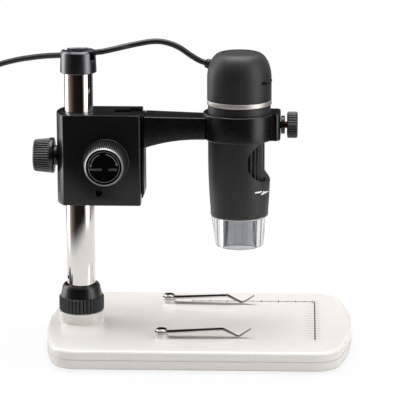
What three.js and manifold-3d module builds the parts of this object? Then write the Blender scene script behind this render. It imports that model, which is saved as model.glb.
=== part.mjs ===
// USB digital microscope on a focusing stand, in millimetres, +Z up.
// Places are measured from the pole's axis, with X along the base towards the stage, Y away from
// the viewer and Z up from the table. The finished group is moved so that its origin is the
// middle of the stand's footprint.
import * as THREE from 'three';
import { mergeVertices } from 'three/addons/utils/BufferGeometryUtils.js';
import Module from 'manifold-3d';

const wasm = await Module();
wasm.setup();

// General fits
const running_gap = 0.3;
const weld_distance = 0.001;
const overrun = 1;

// Base: two moulded shells with a steel plate between them
const base_length = 171.9;
const base_depth = 121;
const base_height = 10.7;
const base_corner = 15;
const base_end_radius = 190;
const base_edge = 2;
const tray_edge = 1.2;
const base_wall = 2.4;
const tray_height = 5.1;
const seam_gap = 0.4;
const pole_inset = 18.8;
const foot_radius = 6;
const foot_rise = 1.5;
const foot_recess = 0.8;
const foot_inset = 18;
const ballast_margin_x = 24;
const ballast_margin_y = 21.5;
const ballast_thickness = 2.8;
const ballast_corner = 5;
const post_radius = 3.6;
const post_inset_x = 40;
const post_inset_y = 13;
const base_screw_radius = 1.3;
const base_screw_head_radius = 2.8;
const base_screw_head = 0.9;
const base_screw_length = 5.4;

// Pole, its socket and its lock collar
const pole_radius = 8;
const pole_wall = 1.5;
const pole_top = 158.6;
const pole_pin_radius = 1.1;
const pole_pin_height = 38.4;
const pole_pin_turn = -61;
const socket_radius = 12.6;
const socket_rise = 6.3;
const neck_radius = 10.4;
const neck_rise = 18;
const neck_slit = 1.2;
const neck_slits = 4;
const collar_band = 6.2;
const collar_height = 15.2;
const collar_radius = 12.6;
const collar_shoulder_radius = 12.3;
const collar_top_radius = 10.3;
const collar_lip = 1;
const collar_ribs = 24;
const collar_rib_depth = 0.35;

// Cap on the pole, with the slot that holds the lead
const cap_base = 155.4;
const cap_height = 12.5;
const cap_radius = 10.2;
const cap_top_radius = 9.75;
const cap_edge = 1.4;
const cap_skirt = 3.5;
const slot_width = 4.2;
const slot_depth = 6.1;
const slot_turn = -31;

// Stage clips
const clip_pivot_x = 47.5;
const clip_rear_inset = 22.7;
const clip_front_inset = 27.4;
const clip_front_degrees = 5.4;
const clip_boss_radius = 4.2;
const clip_boss_rise = 2.6;
const clip_boss_sink = 4.6;
const clip_eye_radius = 4.2;
const clip_width = 5;
const clip_thickness = 0.6;
const clip_reach = 49.5;
const clip_bend_x = 34;
const clip_v_x = 42.4;
const clip_tip_rise = 3.5;
const stud_radius = 1.6;
const stud_head_radius = 3.1;
const stud_head = 1.3;
const stud_length = 6.5;

// Focus block, which rides on the pole
const block_base = 82.2;
const block_height = 51.3;
const block_depth = 28;
const block_right = 35.1;
const block_left = 7.7;
const block_bulge = 4.8;
const block_bevel = 0.8;
const block_corner = 1.5;
const bush_wall = 0.9;
const bush_flange = 0.9;
const bush_flange_width = 0.9;
const set_hole_x = 11.7;
const set_hole_z = 7.2;
const set_hole_radius = 1.8;
const set_screw_radius = 1.45;
const set_screw_length = 4;
const set_screw_sink = 2.6;

// Rack and pinion
const gear_x = 16.2;
const gear_z = 107.9;
const gear_module = 0.7;
const gear_teeth = 14;
const gear_pressure = 20;
const gear_width = 7;
const gear_addendum_share = 0.9;
const gear_dedendum_share = 1.35;
const gear_backlash = 0.16;
const gear_pocket_gap = 0.45;
const shaft_radius = 2.5;
const rack_width = 6;

// Dovetail slide
const slide_base = 87.4;
const slide_height = 44.8;
const slide_plate = 1.4;
const slide_plate_width = 17;
const dovetail_depth = 6.2;
const dovetail_neck = 11;
const dovetail_foot = 16.6;

// Ribbed knobs
const clamp_neck_radius = 5.7;
const clamp_neck_length = 1.4;
const clamp_rim_radius = 10.25;
const clamp_rim_length = 2.4;
const clamp_grip_length = 10.2;
const clamp_grip_radius = 9.75;
const clamp_end_radius = 8.7;
const clamp_ribs = 24;
const clamp_screw_radius = 3;
const clamp_pad_radius = 2.4;
const clamp_pad_thickness = 1;
const knob_hub_radius = 6.4;
const knob_hub_length = 1.7;
const knob_radius = 12.9;
const knob_end_radius = 10.7;
const knob_length = 14.3;
const knob_rim_length = 0.9;
const knob_ribs = 29;
const knob_rib_depth = 0.4;
const knob_face_radius = 9.6;
const knob_face_recess = 0.7;
const knob_end_edge = 0.5;
const knob_disc_thickness = 0.9;
const knob_bore_depth = 10.5;

// Arm and ring
const scope_x = 89.6;
const arm_top = 132.1;
const arm_sweep = 2.2;
const arm_top_drop = 0.9;
const arm_height_root = 17.9;
const arm_height_tip = 12.4;
const arm_depth_root = 20;
const arm_depth_tip = 16.6;
const arm_edge = 0.9;
const ring_top = 133.6;
const ring_height = 14.9;
const ring_radius = 20.3;
const ring_gap = 0.25;
const ring_edge = 0.7;
const ear_reach = 23;
const ear_depth = 20;
const ear_corner = 4.5;
const ear_notch_radius = 2.4;
const ear_screw_radius = 2;
const washer_radius = 5.1;
const washer_length = 2.4;
const thumb_gap = 1.2;
const thumb_radius = 7.4;
const thumb_length = 5.9;
const thumb_edge = 0.5;
const thumb_ribs = 16;
const thumb_rib_depth = 0.3;
const tip_radius = 1.9;
const tip_length = 1.2;

// Microscope: heights above the table
const scope_top = 166.9;
const band_top = 140.6;
const band_height = 2.6;
const barrel_base = 75;
const barrel_shoulder = 110;
const barrel_upper_radius = 17.5;
const barrel_lower_radius = 16.2;
const barrel_wall = 2.4;
const barrel_edge = 0.8;
const dome_radius = 17.95;
const dome_wall = 2;
const dome_button_radius = 9.3;
const dome_shoulder_rise = 14.6;
const dome_share = 0.9;
const button_height = 2;
const button_travel = 0.8;
const button_edge = 0.5;
const band_radius = 18.05;
const band_wall = 1.6;
const window_turn = -10;
const window_spread = 67;
const window_height = 12.4;
const window_z = 107;
const roller_radius = 14.2;
const roller_ribs = 32;
const roller_rib_depth = 0.7;
const roller_height = 30;
const roller_wall = 3.1;
const wheel_radius = 9;
const wheel_thickness = 1.3;
const wheel_z = 151.6;
const wheel_stand_out = 0.45;
const wheel_slot_height = 2;
const wheel_slot_reach = 10.6;
const wheel_slot_x = 11.5;
const wheel_hub_radius = 1.5;
const wheel_ribs = 20;
const lens_tube_radius = 8.4;
const lens_tube_wall = 1.4;
const lens_tube_top = 126;
const lens_tube_base = 79;
const lens_radius = 6.4;
const lens_thickness = 2.2;
const board_radius = 14.6;
const board_thickness = 1.6;
const sensor_side = 9;
const sensor_height = 1.8;
const board_z = 134;
const switch_radius = 2.4;
const light_board_z = 76.6;
const light_board_radius = 12.9;
const light_board_bore = 6.6;
const light_board_thickness = 1;
const light_radius = 1.5;
const light_height = 1.9;
const light_ring_radius = 10;
const light_count = 6;
const nose_base = 57.1;
const nose_top_radius = 15.7;
const nose_bottom_radius = 13.3;
const nose_bore_top = 13.6;
const nose_bore_bottom = 10.2;
const nose_spigot = 3;
const nose_spigot_radius = 13.3;
const nose_edge = 0.9;

// Lead: one cord from the dome through the cap, down to the table and into a coil
const lead_radius = 1.6;
const lead_sides = 8;
const lead_gap = 0.35;
const arch_steps = 18;
const drop_steps = 38;
const tail_steps = 5;
const tail_spans = 5;
const relief_radius = 2.7;
const relief_tip_radius = 2.2;
const relief_length = 5.4;
const lead_arch_points = [
  [70.4, 3.8, 160.4], [67.6, 3.3, 161.5], [62.1, 2.4, 165.0], [56.6, 1.5, 169.0], [51.1, 0.5, 171.6],
  [45.7, -0.4, 172.9], [40.2, -1.3, 172.9], [34.7, -2.2, 172.1], [29.2, -3.1, 171.1],
  [24.4, -5.2, 170.3], [20.0, -6.8, 169.5], [16.6, -7.8, 168.9], [13.6, -7.8, 168.3], [10.63, -6.39, 167.7],
];
const lead_slot_points = [
  [7.9, -4.75, 167.3], [4.4, -2.6, 166.2], [0, 0, 165.3], [-5.2, 3.1, 164.4],
];
const lead_drop_points = [
  [-9.5, 5.7, 163.8], [-16.6, 9.6, 162.8], [-22.6, 12.7, 161.8], [-28.7, 15.6, 160.5],
  [-34.8, 18.5, 159.1], [-40.9, 21.3, 157.3], [-47.1, 24.0, 155.1], [-56.0, 27.4, 150.4],
  [-63.6, 29.9, 143.2], [-69.2, 31.4, 134.0], [-73.2, 32.2, 122.6], [-76.2, 32.6, 109.0],
  [-78.6, 32.8, 94.0], [-80.8, 32.9, 78.0], [-83.0, 32.9, 62.0], [-85.6, 32.9, 47.0],
  [-88.8, 32.9, 31.5], [-91.2, 32.9, 24.4], [-93.8, 32.9, 19.4], [-96.7, 32.9, 15.6], [-98.2, 32.8, 13.9],
  [-99.9, 32.7, 12.9],
];
const coil_x = -108;
const coil_y = 10;
const coil_mid_radius = 18;
const coil_turns_across = 2.573;
const coil_layers = 4;
const coil_pitch = 3.8;
const coil_steps = 24;
const coil_sides = 6;
const coil_flat = 0.32;
const plug_length = 21;
const plug_width = 12.6;
const plug_height = 7.6;
const plug_corner = 1.6;
const plug_neck_length = 8;
const plug_neck_radius = 2.9;
const plug_shell_length = 18.6;
const plug_shell_width = 12;
const plug_shell_height = 4.5;
const plug_shell_wall = 0.4;
const plug_tongue_height = 1.8;
const tail_length = 15;

// Places that follow from the sizes
const base_top = foot_rise + base_height;
const seam_z = foot_rise + tray_height;
const tray_floor = foot_rise + base_wall;
const base_left = -pole_inset;
const base_right = base_length - pole_inset;
const base_middle = (base_left + base_right) / 2;
const ballast_length = base_length - 2 * ballast_margin_x;
const ballast_depth = base_depth - 2 * ballast_margin_y;
const clip_rear_y = base_depth / 2 - clip_rear_inset;
const clip_front_y = -base_depth / 2 + clip_front_inset;
const post_rows = [base_left + post_inset_x, base_right - post_inset_x];
const post_sides = [-base_depth / 2 + post_inset_y, base_depth / 2 - post_inset_y];
const ballast_top = tray_floor + running_gap + ballast_thickness;
const pole_base = ballast_top + running_gap;
const socket_top = base_top + socket_rise;
const neck_top = base_top + neck_rise;
const collar_base = socket_top + running_gap;
const bush_bore = pole_radius + running_gap;
const bush_radius = bush_bore + bush_wall;
const block_bore = bush_radius + running_gap;
const block_top = block_base + block_height;
const block_front = -block_depth / 2;
const block_end = -block_left - block_bulge;
const pitch_radius = gear_module * gear_teeth / 2;
const tip_of_teeth = pitch_radius + gear_module * gear_addendum_share;
const rack_line = gear_x + pitch_radius;
const dovetail_back = block_right - dovetail_depth;
const ring_base = ring_top - ring_height;
const ring_bore = barrel_upper_radius + ring_gap;
const thumb_z = ring_top - ring_height / 2;
const ear_right = scope_x + ear_reach;
const thumb_start = ear_right + washer_length + thumb_gap;
const band_base = band_top - band_height;
const barrel_top = band_base - running_gap;
const wheel_centre = dome_radius + wheel_stand_out - wheel_radius;
const button_seat = scope_top - button_height - button_travel - running_gap;
const switch_board_z = button_seat - dome_wall - running_gap - board_thickness;
const lead_diameter = 2 * lead_radius;
const turn = (degrees) => THREE.MathUtils.degToRad(degrees);

// Geometry helpers
function welded(geometry) {
  const plain = geometry.index ? geometry.toNonIndexed() : geometry.clone();
  for (const name of Object.keys(plain.attributes)) {
    if (name !== 'position') plain.deleteAttribute(name);
  }
  const merged = mergeVertices(plain, weld_distance);
  const index = merged.index.array;
  const kept = [];
  for (let i = 0; i < index.length; i += 3) {
    const [a, b, c] = [index[i], index[i + 1], index[i + 2]];
    if (a !== b && b !== c && c !== a) kept.push(a, b, c);
  }
  merged.setIndex(kept);
  return merged;
}

function solid(geometry) {
  const closed = welded(geometry);
  const mesh = new wasm.Mesh({
    numProp: 3,
    vertProperties: new Float32Array(closed.attributes.position.array),
    triVerts: new Uint32Array(closed.index.array),
  });
  return new wasm.Manifold(mesh);
}

function geometryOf(manifold) {
  const mesh = manifold.getMesh();
  const geometry = new THREE.BufferGeometry();
  geometry.setAttribute('position', new THREE.BufferAttribute(new Float32Array(mesh.vertProperties), 3));
  geometry.setIndex(new THREE.BufferAttribute(new Uint32Array(mesh.triVerts), 1));
  return geometry;
}

function cut(geometry, ...tools) {
  return geometryOf(tools.reduce((whole, tool) => whole.subtract(solid(tool)), solid(geometry)));
}

function join(geometry, ...others) {
  return geometryOf(others.reduce((whole, other) => whole.add(solid(other)), solid(geometry)));
}

function overlapOf(geometry, other) {
  return geometryOf(solid(geometry).intersect(solid(other)));
}

// Revolves [radius, height] points about +Z. The profile starts and ends on the axis, or closes.
function revolve(profile, segments) {
  const points = profile.map(([radius, height]) => new THREE.Vector2(radius, height));
  const geometry = new THREE.LatheGeometry(points, segments);
  geometry.rotateX(Math.PI / 2);
  return geometry;
}

// A closed ring profile has a bore: its last point meets its first.
function ringOf(profile, segments) {
  return revolve([...profile, profile[0]], segments);
}

// A prism of the outline [x, y] points, from z up to z + height, with bevelled ends if asked.
function prism(outline, z, height, bevel = 0) {
  const shape = new THREE.Shape(outline.map(([x, y]) => new THREE.Vector2(x, y)));
  const geometry = new THREE.ExtrudeGeometry(shape, {
    depth: height - 2 * bevel,
    bevelEnabled: bevel > 0,
    bevelSize: bevel,
    bevelThickness: bevel,
    bevelOffset: -bevel,
    bevelSegments: 1,
    steps: 1,
  });
  geometry.translate(0, 0, z + bevel);
  return geometry;
}

function cylinder(radius, height, segments = 24) {
  const geometry = new THREE.CylinderGeometry(radius, radius, height, segments);
  geometry.rotateX(Math.PI / 2);
  return geometry;
}

function box(x_size, y_size, z_size, x, y, z) {
  const geometry = new THREE.BoxGeometry(x_size, y_size, z_size);
  geometry.translate(x, y, z);
  return geometry;
}

function arc(x, y, radius, from, to, steps) {
  return Array.from({ length: steps + 1 }, (_, i) => {
    const angle = turn(from + (to - from) * i / steps);
    return [x + radius * Math.cos(angle), y + radius * Math.sin(angle)];
  });
}

function roundedRectangle(length, depth, corner, steps) {
  const x = length / 2 - corner;
  const y = depth / 2 - corner;
  return [
    ...arc(x, -y, corner, -90, 0, steps),
    ...arc(x, y, corner, 0, 90, steps),
    ...arc(-x, y, corner, 90, 180, steps),
    ...arc(-x, -y, corner, 180, 270, steps),
  ];
}

// A skin over rings of equally many [x, y, z] points, closed by a fan at each end.
function loft(rings) {
  const count = rings[0].length;
  const positions = rings.flat(2);
  const faces = [];
  for (let k = 0; k + 1 < rings.length; k += 1) {
    for (let i = 0; i < count; i += 1) {
      const a = k * count + i;
      const b = k * count + (i + 1) % count;
      faces.push(a, b, b + count, a, b + count, a + count);
    }
  }
  for (const [ring, flip] of [[0, true], [rings.length - 1, false]]) {
    const middle = positions.length / 3;
    const sum = [0, 0, 0];
    rings[ring].forEach((point) => point.forEach((value, axis) => { sum[axis] += value / count; }));
    positions.push(...sum);
    for (let i = 0; i < count; i += 1) {
      const a = ring * count + i;
      const b = ring * count + (i + 1) % count;
      faces.push(...(flip ? [middle, b, a] : [middle, a, b]));
    }
  }
  const geometry = new THREE.BufferGeometry();
  geometry.setAttribute('position', new THREE.Float32BufferAttribute(positions, 3));
  geometry.setIndex(faces);
  return geometry;
}

// The base's outline, drawn in by an inset: straight long sides, bulging ends and rounded corners.
function baseOutline(inset) {
  const corner_steps = 4;
  const end_steps = 4;
  const end_x = base_length / 2 - base_end_radius;
  const y = base_depth / 2 - base_corner;
  const x = end_x + Math.sqrt((base_end_radius - base_corner) ** 2 - y * y);
  const spread = THREE.MathUtils.radToDeg(Math.atan2(y, x - end_x));
  const half = [
    ...arc(x, -y, base_corner - inset, -90, -spread, corner_steps),
    ...arc(end_x, 0, base_end_radius - inset, -spread, spread, end_steps).slice(1, -1),
    ...arc(x, y, base_corner - inset, spread, 90, corner_steps),
  ];
  return [...half, ...half.map(([u, v]) => [-u, -v])].map(([u, v]) => [u + base_middle, v]);
}

// A slab over the base's outline, which draws in along its upper or lower edge.
function baseSlab(inset, z_low, z_high, edge_low, edge_high, steps) {
  const quarter = (edge, from, to) => Array.from({ length: steps + 1 }, (_, i) => {
    const angle = turn(from + (to - from) * i / steps);
    return [edge * (1 - Math.cos(angle)), edge * Math.sin(angle)];
  });
  const low = edge_low > 0
    ? quarter(edge_low, 90, 0).map(([drawn_in, rise]) => [drawn_in, z_low + edge_low - rise])
    : [[0, z_low]];
  const high = edge_high > 0
    ? quarter(edge_high, 0, 90).map(([drawn_in, rise]) => [drawn_in, z_high - edge_high + rise])
    : [[0, z_high]];
  return loft([...low, ...high].map(([drawn_in, z]) => (
    baseOutline(inset + drawn_in).map(([x, y]) => [x, y, z])
  )));
}

// A revolved form about +Z whose [radius, height, ribbed] rings carry ribs where ribbed is 1.
function ribbed(profile, ribs, rib_depth) {
  const count = 2 * ribs;
  return loft(profile.map(([radius, height, is_ribbed]) => Array.from({ length: count }, (_, i) => {
    const angle = 2 * Math.PI * i / count;
    const r = radius - (is_ribbed && i % 2 ? rib_depth : 0);
    return [r * Math.cos(angle), r * Math.sin(angle), height];
  })));
}

// Turns a form built along +Z so that it points along +X, -X, +Y or -Y.
const alongX = (geometry) => geometry.rotateY(Math.PI / 2);
const alongMinusX = (geometry) => geometry.rotateY(-Math.PI / 2);
const alongY = (geometry) => geometry.rotateX(-Math.PI / 2);
const alongMinusY = (geometry) => geometry.rotateX(Math.PI / 2);

// Base
function baseCover() {
  const shell = cut(
    baseSlab(0, seam_z + seam_gap, base_top, 0, base_edge, 2),
    baseSlab(base_wall, seam_z + seam_gap - overrun, base_top - base_wall, 0, 0, 1),
  );
  const post_base = tray_floor + running_gap;
  const post_height = base_top - post_base - base_wall / 2;
  const posts = post_rows.flatMap((x) => post_sides.map((y) => (
    cylinder(post_radius, post_height, 8).translate(x, y, post_base + post_height / 2)
  )));
  const socket = revolve([
    [0, ballast_top + 2 * running_gap],
    [neck_radius, ballast_top + 2 * running_gap],
    [neck_radius, base_top - base_wall / 2],
    [socket_radius, base_top - base_wall / 2],
    [socket_radius, socket_top],
    [neck_radius, socket_top],
    [neck_radius, neck_top],
    [0, neck_top],
  ], 24);
  const bosses = [clip_rear_y, clip_front_y].map((y) => revolve([
    [0, base_top - clip_boss_sink],
    [clip_boss_radius, base_top - clip_boss_sink],
    [clip_boss_radius, base_top + clip_boss_rise],
    [0, base_top + clip_boss_rise],
  ], 14).translate(clip_pivot_x, y, 0));
  const pole_hole = cylinder(pole_radius + running_gap, 2 * (neck_top + overrun), 24);
  const slits = Array.from({ length: neck_slits / 2 }, (_, i) => {
    const slit = box(3 * neck_radius, neck_slit, neck_rise, 0, 0, 0);
    slit.rotateZ(2 * Math.PI * i / neck_slits);
    return slit.translate(0, 0, socket_top + running_gap + neck_rise / 2);
  });
  const stud_holes = [clip_rear_y, clip_front_y].map((y) => (
    cylinder(stud_radius + running_gap, 2 * stud_length, 10)
      .translate(clip_pivot_x, y, base_top + clip_boss_rise)
  ));
  const screw_hole = base_screw_length + running_gap;
  const screw_holes = post_rows.flatMap((x) => post_sides.map((y) => (
    cylinder(base_screw_radius + running_gap, 2 * screw_hole, 8).translate(x, y, post_base)
  )));
  return cut(join(shell, ...posts, socket, ...bosses), pole_hole, ...slits, ...stud_holes, ...screw_holes);
}

function footPlaces() {
  const x = base_length / 2 - foot_inset;
  const y = base_depth / 2 - foot_inset;
  return [[-x, -y], [x, -y], [x, y], [-x, y]].map(([dx, dy]) => [base_middle + dx, dy]);
}

function baseTray() {
  const shell = cut(
    baseSlab(0, foot_rise, seam_z, tray_edge, 0, 1),
    baseSlab(base_wall, tray_floor, seam_z + overrun, 0, 0, 1),
  );
  const recesses = footPlaces().map(([x, y]) => (
    cylinder(foot_radius + running_gap, 2 * foot_recess, 16).translate(x, y, foot_rise)
  ));
  const head_room = base_screw_head + running_gap;
  const screw_ways = post_rows.flatMap((x) => post_sides.flatMap((y) => [
    cylinder(base_screw_radius + running_gap, 4 * base_wall, 8).translate(x, y, foot_rise),
    cylinder(base_screw_head_radius + running_gap, 2 * head_room, 10).translate(x, y, foot_rise),
  ]));
  return cut(shell, ...recesses, ...screw_ways);
}

function ballastPlate() {
  const outline = roundedRectangle(ballast_length, ballast_depth, ballast_corner, 3)
    .map(([x, y]) => [x + base_middle - pole_inset / 2, y]);
  const plate = prism(outline, tray_floor + running_gap, ballast_thickness);
  return plate;
}

function rubberFoot() {
  const height = foot_rise + foot_recess - running_gap;
  return revolve([
    [0, 0],
    [foot_radius - foot_recess / 2, 0],
    [foot_radius, foot_recess / 2],
    [foot_radius, height],
    [0, height],
  ], 12);
}

function baseScrew() {
  const head_base = foot_rise;
  const head_top = head_base + base_screw_head;
  return revolve([
    [0, head_base],
    [base_screw_head_radius, head_base],
    [base_screw_head_radius, head_top],
    [base_screw_radius, head_top],
    [base_screw_radius, head_top + base_screw_length],
    [0, head_top + base_screw_length + base_screw_radius],
  ], 8);
}

// Pole, cap and collar
function poleTube() {
  const tube = ringOf([
    [pole_radius - pole_wall, pole_base],
    [pole_radius, pole_base],
    [pole_radius, pole_top],
    [pole_radius - pole_wall, pole_top],
  ], 24);
  const pin_hole = alongMinusY(cylinder(pole_pin_radius, pole_radius, 12));
  pin_hole.translate(0, -pole_radius, pole_pin_height);
  pin_hole.rotateZ(turn(pole_pin_turn));
  return cut(tube, pin_hole);
}

function poleCap() {
  const top = cap_base + cap_height;
  const ceiling = cap_base + cap_skirt;
  const plug_radius = pole_radius - pole_wall - running_gap;
  const body = revolve([
    [0, cap_base - cap_skirt],
    [plug_radius, cap_base - cap_skirt],
    [plug_radius, ceiling],
    [pole_radius + running_gap, ceiling],
    [pole_radius + running_gap, cap_base],
    [cap_radius, cap_base],
    [cap_top_radius, top - cap_edge],
    ...arc(0, 0, cap_edge, 0, 90, 3).slice(1).map(([x, y]) => (
      [cap_top_radius - cap_edge + x, top - cap_edge + y]
    )),
    [0, top],
  ], 26);
  const slot_middle = top - slot_depth + slot_width / 2;
  const round_floor = alongX(cylinder(slot_width / 2, 4 * cap_radius, 16));
  round_floor.translate(0, 0, slot_middle);
  const open_top = box(4 * cap_radius, slot_width, slot_depth, 0, 0, slot_middle + slot_depth / 2);
  const slot = join(round_floor, open_top);
  slot.rotateZ(turn(slot_turn));
  return cut(body, slot);
}

function lockCollar() {
  const band_end = collar_base + collar_band;
  const top = collar_base + collar_height;
  const body = ribbed([
    [collar_radius, collar_base, 1],
    [collar_radius, band_end, 1],
    [collar_shoulder_radius, band_end + collar_rib_depth, 0],
    [collar_top_radius, top - collar_lip, 0],
    [collar_top_radius - collar_lip / 2, top, 0],
  ], collar_ribs, collar_rib_depth);
  const thread_room = neck_top + running_gap;
  const bore = revolve([
    [0, collar_base - overrun],
    [neck_radius + running_gap, collar_base - overrun],
    [neck_radius + running_gap, thread_room],
    [pole_radius + running_gap, thread_room + collar_lip / 2],
    [pole_radius + running_gap, top - collar_lip],
    [pole_radius + running_gap + collar_lip, top],
    [pole_radius + running_gap + collar_lip, top + overrun],
    [0, top + overrun],
  ], 24);
  return cut(body, bore);
}

// Stage clips: a flat spring strip with an eye, a V near the tip and the tip turned up
function stageClip(angle) {
  const eye_z = base_top + clip_boss_rise + running_gap;
  const half = clip_thickness / 2;
  const middle = eye_z + half;
  const low = base_top + running_gap + half;
  const line = [
    [0, middle],
    [clip_bend_x, middle],
    [clip_v_x, low],
    [clip_reach, low + clip_tip_rise],
  ];
  const strip = line.map(([x, z]) => [
    [x, -clip_width / 2, z - half],
    [x, clip_width / 2, z - half],
    [x, clip_width / 2, z + half],
    [x, -clip_width / 2, z + half],
  ]);
  const eye = cylinder(clip_eye_radius, clip_thickness, 16).translate(0, 0, middle);
  const hole = cylinder(stud_radius + running_gap, 4 * clip_thickness, 12).translate(0, 0, middle);
  const clip = cut(join(loft(strip), eye), hole);
  clip.rotateZ(turn(angle));
  return clip;
}

function clipStud() {
  const seat = base_top + clip_boss_rise + 2 * running_gap + clip_thickness;
  return revolve([
    [0, seat - stud_length],
    [stud_radius, seat - stud_length],
    [stud_radius, seat],
    [stud_head_radius, seat],
    [stud_head_radius, seat + stud_head / 2],
    [stud_head_radius / 2, seat + stud_head],
    [0, seat + stud_head],
  ], 12);
}

// Focus block
function endArc(steps) {
  const half = block_depth / 2;
  const radius = (half * half + block_bulge * block_bulge) / (2 * block_bulge);
  const spread = THREE.MathUtils.radToDeg(Math.asin(half / radius));
  const facing_left = 180;
  return arc(block_end + radius, 0, radius, facing_left - spread, facing_left + spread, steps);
}

function focusBlock() {
  const half = block_depth / 2;
  const outline = [
    ...arc(block_right - block_corner, -half + block_corner, block_corner, -90, 0, 2),
    ...arc(block_right - block_corner, half - block_corner, block_corner, 0, 90, 2),
    ...endArc(10),
  ];
  const body = prism(outline, block_base, block_height, block_bevel);
  const pole_way = cylinder(block_bore, 2 * block_height, 24).translate(0, 0, block_base + block_height / 2);
  const collar_seat = (z) => cylinder(
    block_bore + bush_flange_width, 2 * (bush_flange + running_gap), 24,
  ).translate(0, 0, z);
  const dovetail_way = prism(
    dovetailOutline(running_gap, block_right + overrun), block_base - overrun, block_height + 2 * overrun,
  );
  const rack_way_width = gear_width + 2 * running_gap;
  const rack_way_left = rack_line - gear_module * gear_addendum_share - running_gap;
  const rack_way = box(
    dovetail_back + running_gap - rack_way_left, rack_way_width, block_height + 2 * overrun,
    (dovetail_back + running_gap + rack_way_left) / 2, 0, block_base + block_height / 2,
  );
  const pocket = alongY(cylinder(tip_of_teeth + gear_pocket_gap, rack_way_width, 20));
  pocket.translate(gear_x, 0, gear_z);
  const shaft_way = alongY(cylinder(shaft_radius + running_gap, 2 * block_depth, 16));
  shaft_way.translate(gear_x, 0, gear_z);
  const clamp_way = alongX(cylinder(clamp_screw_radius + running_gap, -2 * block_end, 16));
  clamp_way.translate(block_end - bush_radius, 0, gear_z);
  const set_hole = alongY(cylinder(set_hole_radius, block_depth - 2 * set_screw_radius, 12));
  set_hole.translate(set_hole_x, block_front, block_base + set_hole_z);
  return cut(
    body, pole_way, collar_seat(block_base), collar_seat(block_top), dovetail_way, rack_way,
    pocket, shaft_way, clamp_way, set_hole,
  );
}

// The tongue in plan, grown by a gap on its flanks and back, and open to the right.
function dovetailOutline(gap, right) {
  const neck = dovetail_neck / 2 + gap;
  const foot = dovetail_foot / 2 + gap;
  const back = dovetail_back - gap;
  return [[back, -foot], [block_right, -neck], [right, -neck], [right, neck], [block_right, neck], [back, foot]];
}

function poleBush() {
  const flange = bush_radius + bush_flange_width;
  return ringOf([
    [bush_bore, block_base],
    [flange, block_base],
    [flange, block_base + bush_flange],
    [bush_radius, block_base + bush_flange],
    [bush_radius, block_top - bush_flange],
    [flange, block_top - bush_flange],
    [flange, block_top],
    [bush_bore, block_top],
  ], 20);
}

function setScrew() {
  const screw = alongY(revolve([
    [0, 0],
    [set_screw_radius, 0],
    [set_screw_radius, set_screw_length],
    [set_screw_radius / 2, set_screw_length + set_screw_radius / 2],
    [0, set_screw_length + set_screw_radius / 2],
  ], 12));
  return screw;
}

// Rack and pinion with involute pinion teeth and a straight-sided rack
function pinionOutline() {
  const pressure = turn(gear_pressure);
  const base_radius = pitch_radius * Math.cos(pressure);
  const root = pitch_radius - gear_module * gear_dedendum_share;
  const involute = (radius) => {
    const angle = Math.acos(Math.min(1, base_radius / radius));
    return Math.tan(angle) - angle;
  };
  const half_tooth = Math.PI / (2 * gear_teeth) - gear_backlash / (2 * pitch_radius) + involute(pitch_radius);
  const flank_steps = 2;
  const flank = Array.from({ length: flank_steps + 1 }, (_, i) => {
    const radius = base_radius + (tip_of_teeth - base_radius) * i / flank_steps;
    return [radius, half_tooth - involute(radius)];
  });
  const tooth = [[root, -half_tooth], ...flank.map(([r, a]) => [r, -a]), ...flank.reverse(), [root, half_tooth]];
  return Array.from({ length: gear_teeth }, (_, k) => tooth.map(([radius, angle]) => {
    const at = angle + 2 * Math.PI * (k + 0.5) / gear_teeth;
    return [radius * Math.cos(at), radius * Math.sin(at)];
  })).flat();
}

// Built about +Z with a tooth gap facing +X, then laid along Y.
function pinionGear() {
  const gear = prism(pinionOutline(), -gear_width / 2, gear_width);
  const bored = cut(gear, cylinder(shaft_radius + running_gap, 2 * gear_width, 14));
  return alongY(bored);
}

function pinionShaft() {
  const rear = -block_front + knob_hub_length + knob_bore_depth;
  const front = -rear;
  const flat = shaft_radius / 3;
  return alongY(revolve([
    [0, front],
    [shaft_radius - flat, front],
    [shaft_radius, front + flat],
    [shaft_radius, rear - flat],
    [shaft_radius - flat, rear],
    [0, rear],
  ], 16));
}

function gearRack() {
  const pitch = Math.PI * gear_module;
  const count = Math.floor((gear_z - slide_base - pitch) / pitch)
    + Math.floor((slide_base + slide_height - gear_z - pitch) / pitch) + 1;
  const lean = Math.tan(turn(gear_pressure));
  const addendum = gear_module * gear_addendum_share;
  const dedendum = gear_module * gear_dedendum_share;
  const half = pitch / 4 - gear_backlash / 2;
  const tip = rack_line - addendum;
  const root = rack_line + dedendum - running_gap;
  const below = Math.floor((gear_z - slide_base - pitch) / pitch);
  const teeth = Array.from({ length: count }, (_, k) => {
    const z = gear_z + pitch * (k - below);
    return [
      [root, z - half - (root - rack_line) * lean],
      [tip, z - half + addendum * lean],
      [tip, z + half - addendum * lean],
      [root, z + half + (root - rack_line) * lean],
    ];
  }).flat();
  const back = dovetail_back - running_gap;
  const outline = [[back, slide_base], [root, slide_base], ...teeth, [root, slide_base + slide_height], [back, slide_base + slide_height]];
  const bar = prism(outline.reverse(), -rack_width / 2, rack_width);
  return alongMinusY(bar);
}

function dovetailSlide() {
  const tongue = prism(dovetailOutline(0, block_right + 2 * running_gap), slide_base, slide_height);
  const plate = box(
    slide_plate, slide_plate_width, slide_height,
    block_right + running_gap + slide_plate / 2, 0, slide_base + slide_height / 2,
  );
  return join(tongue, plate);
}

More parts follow.
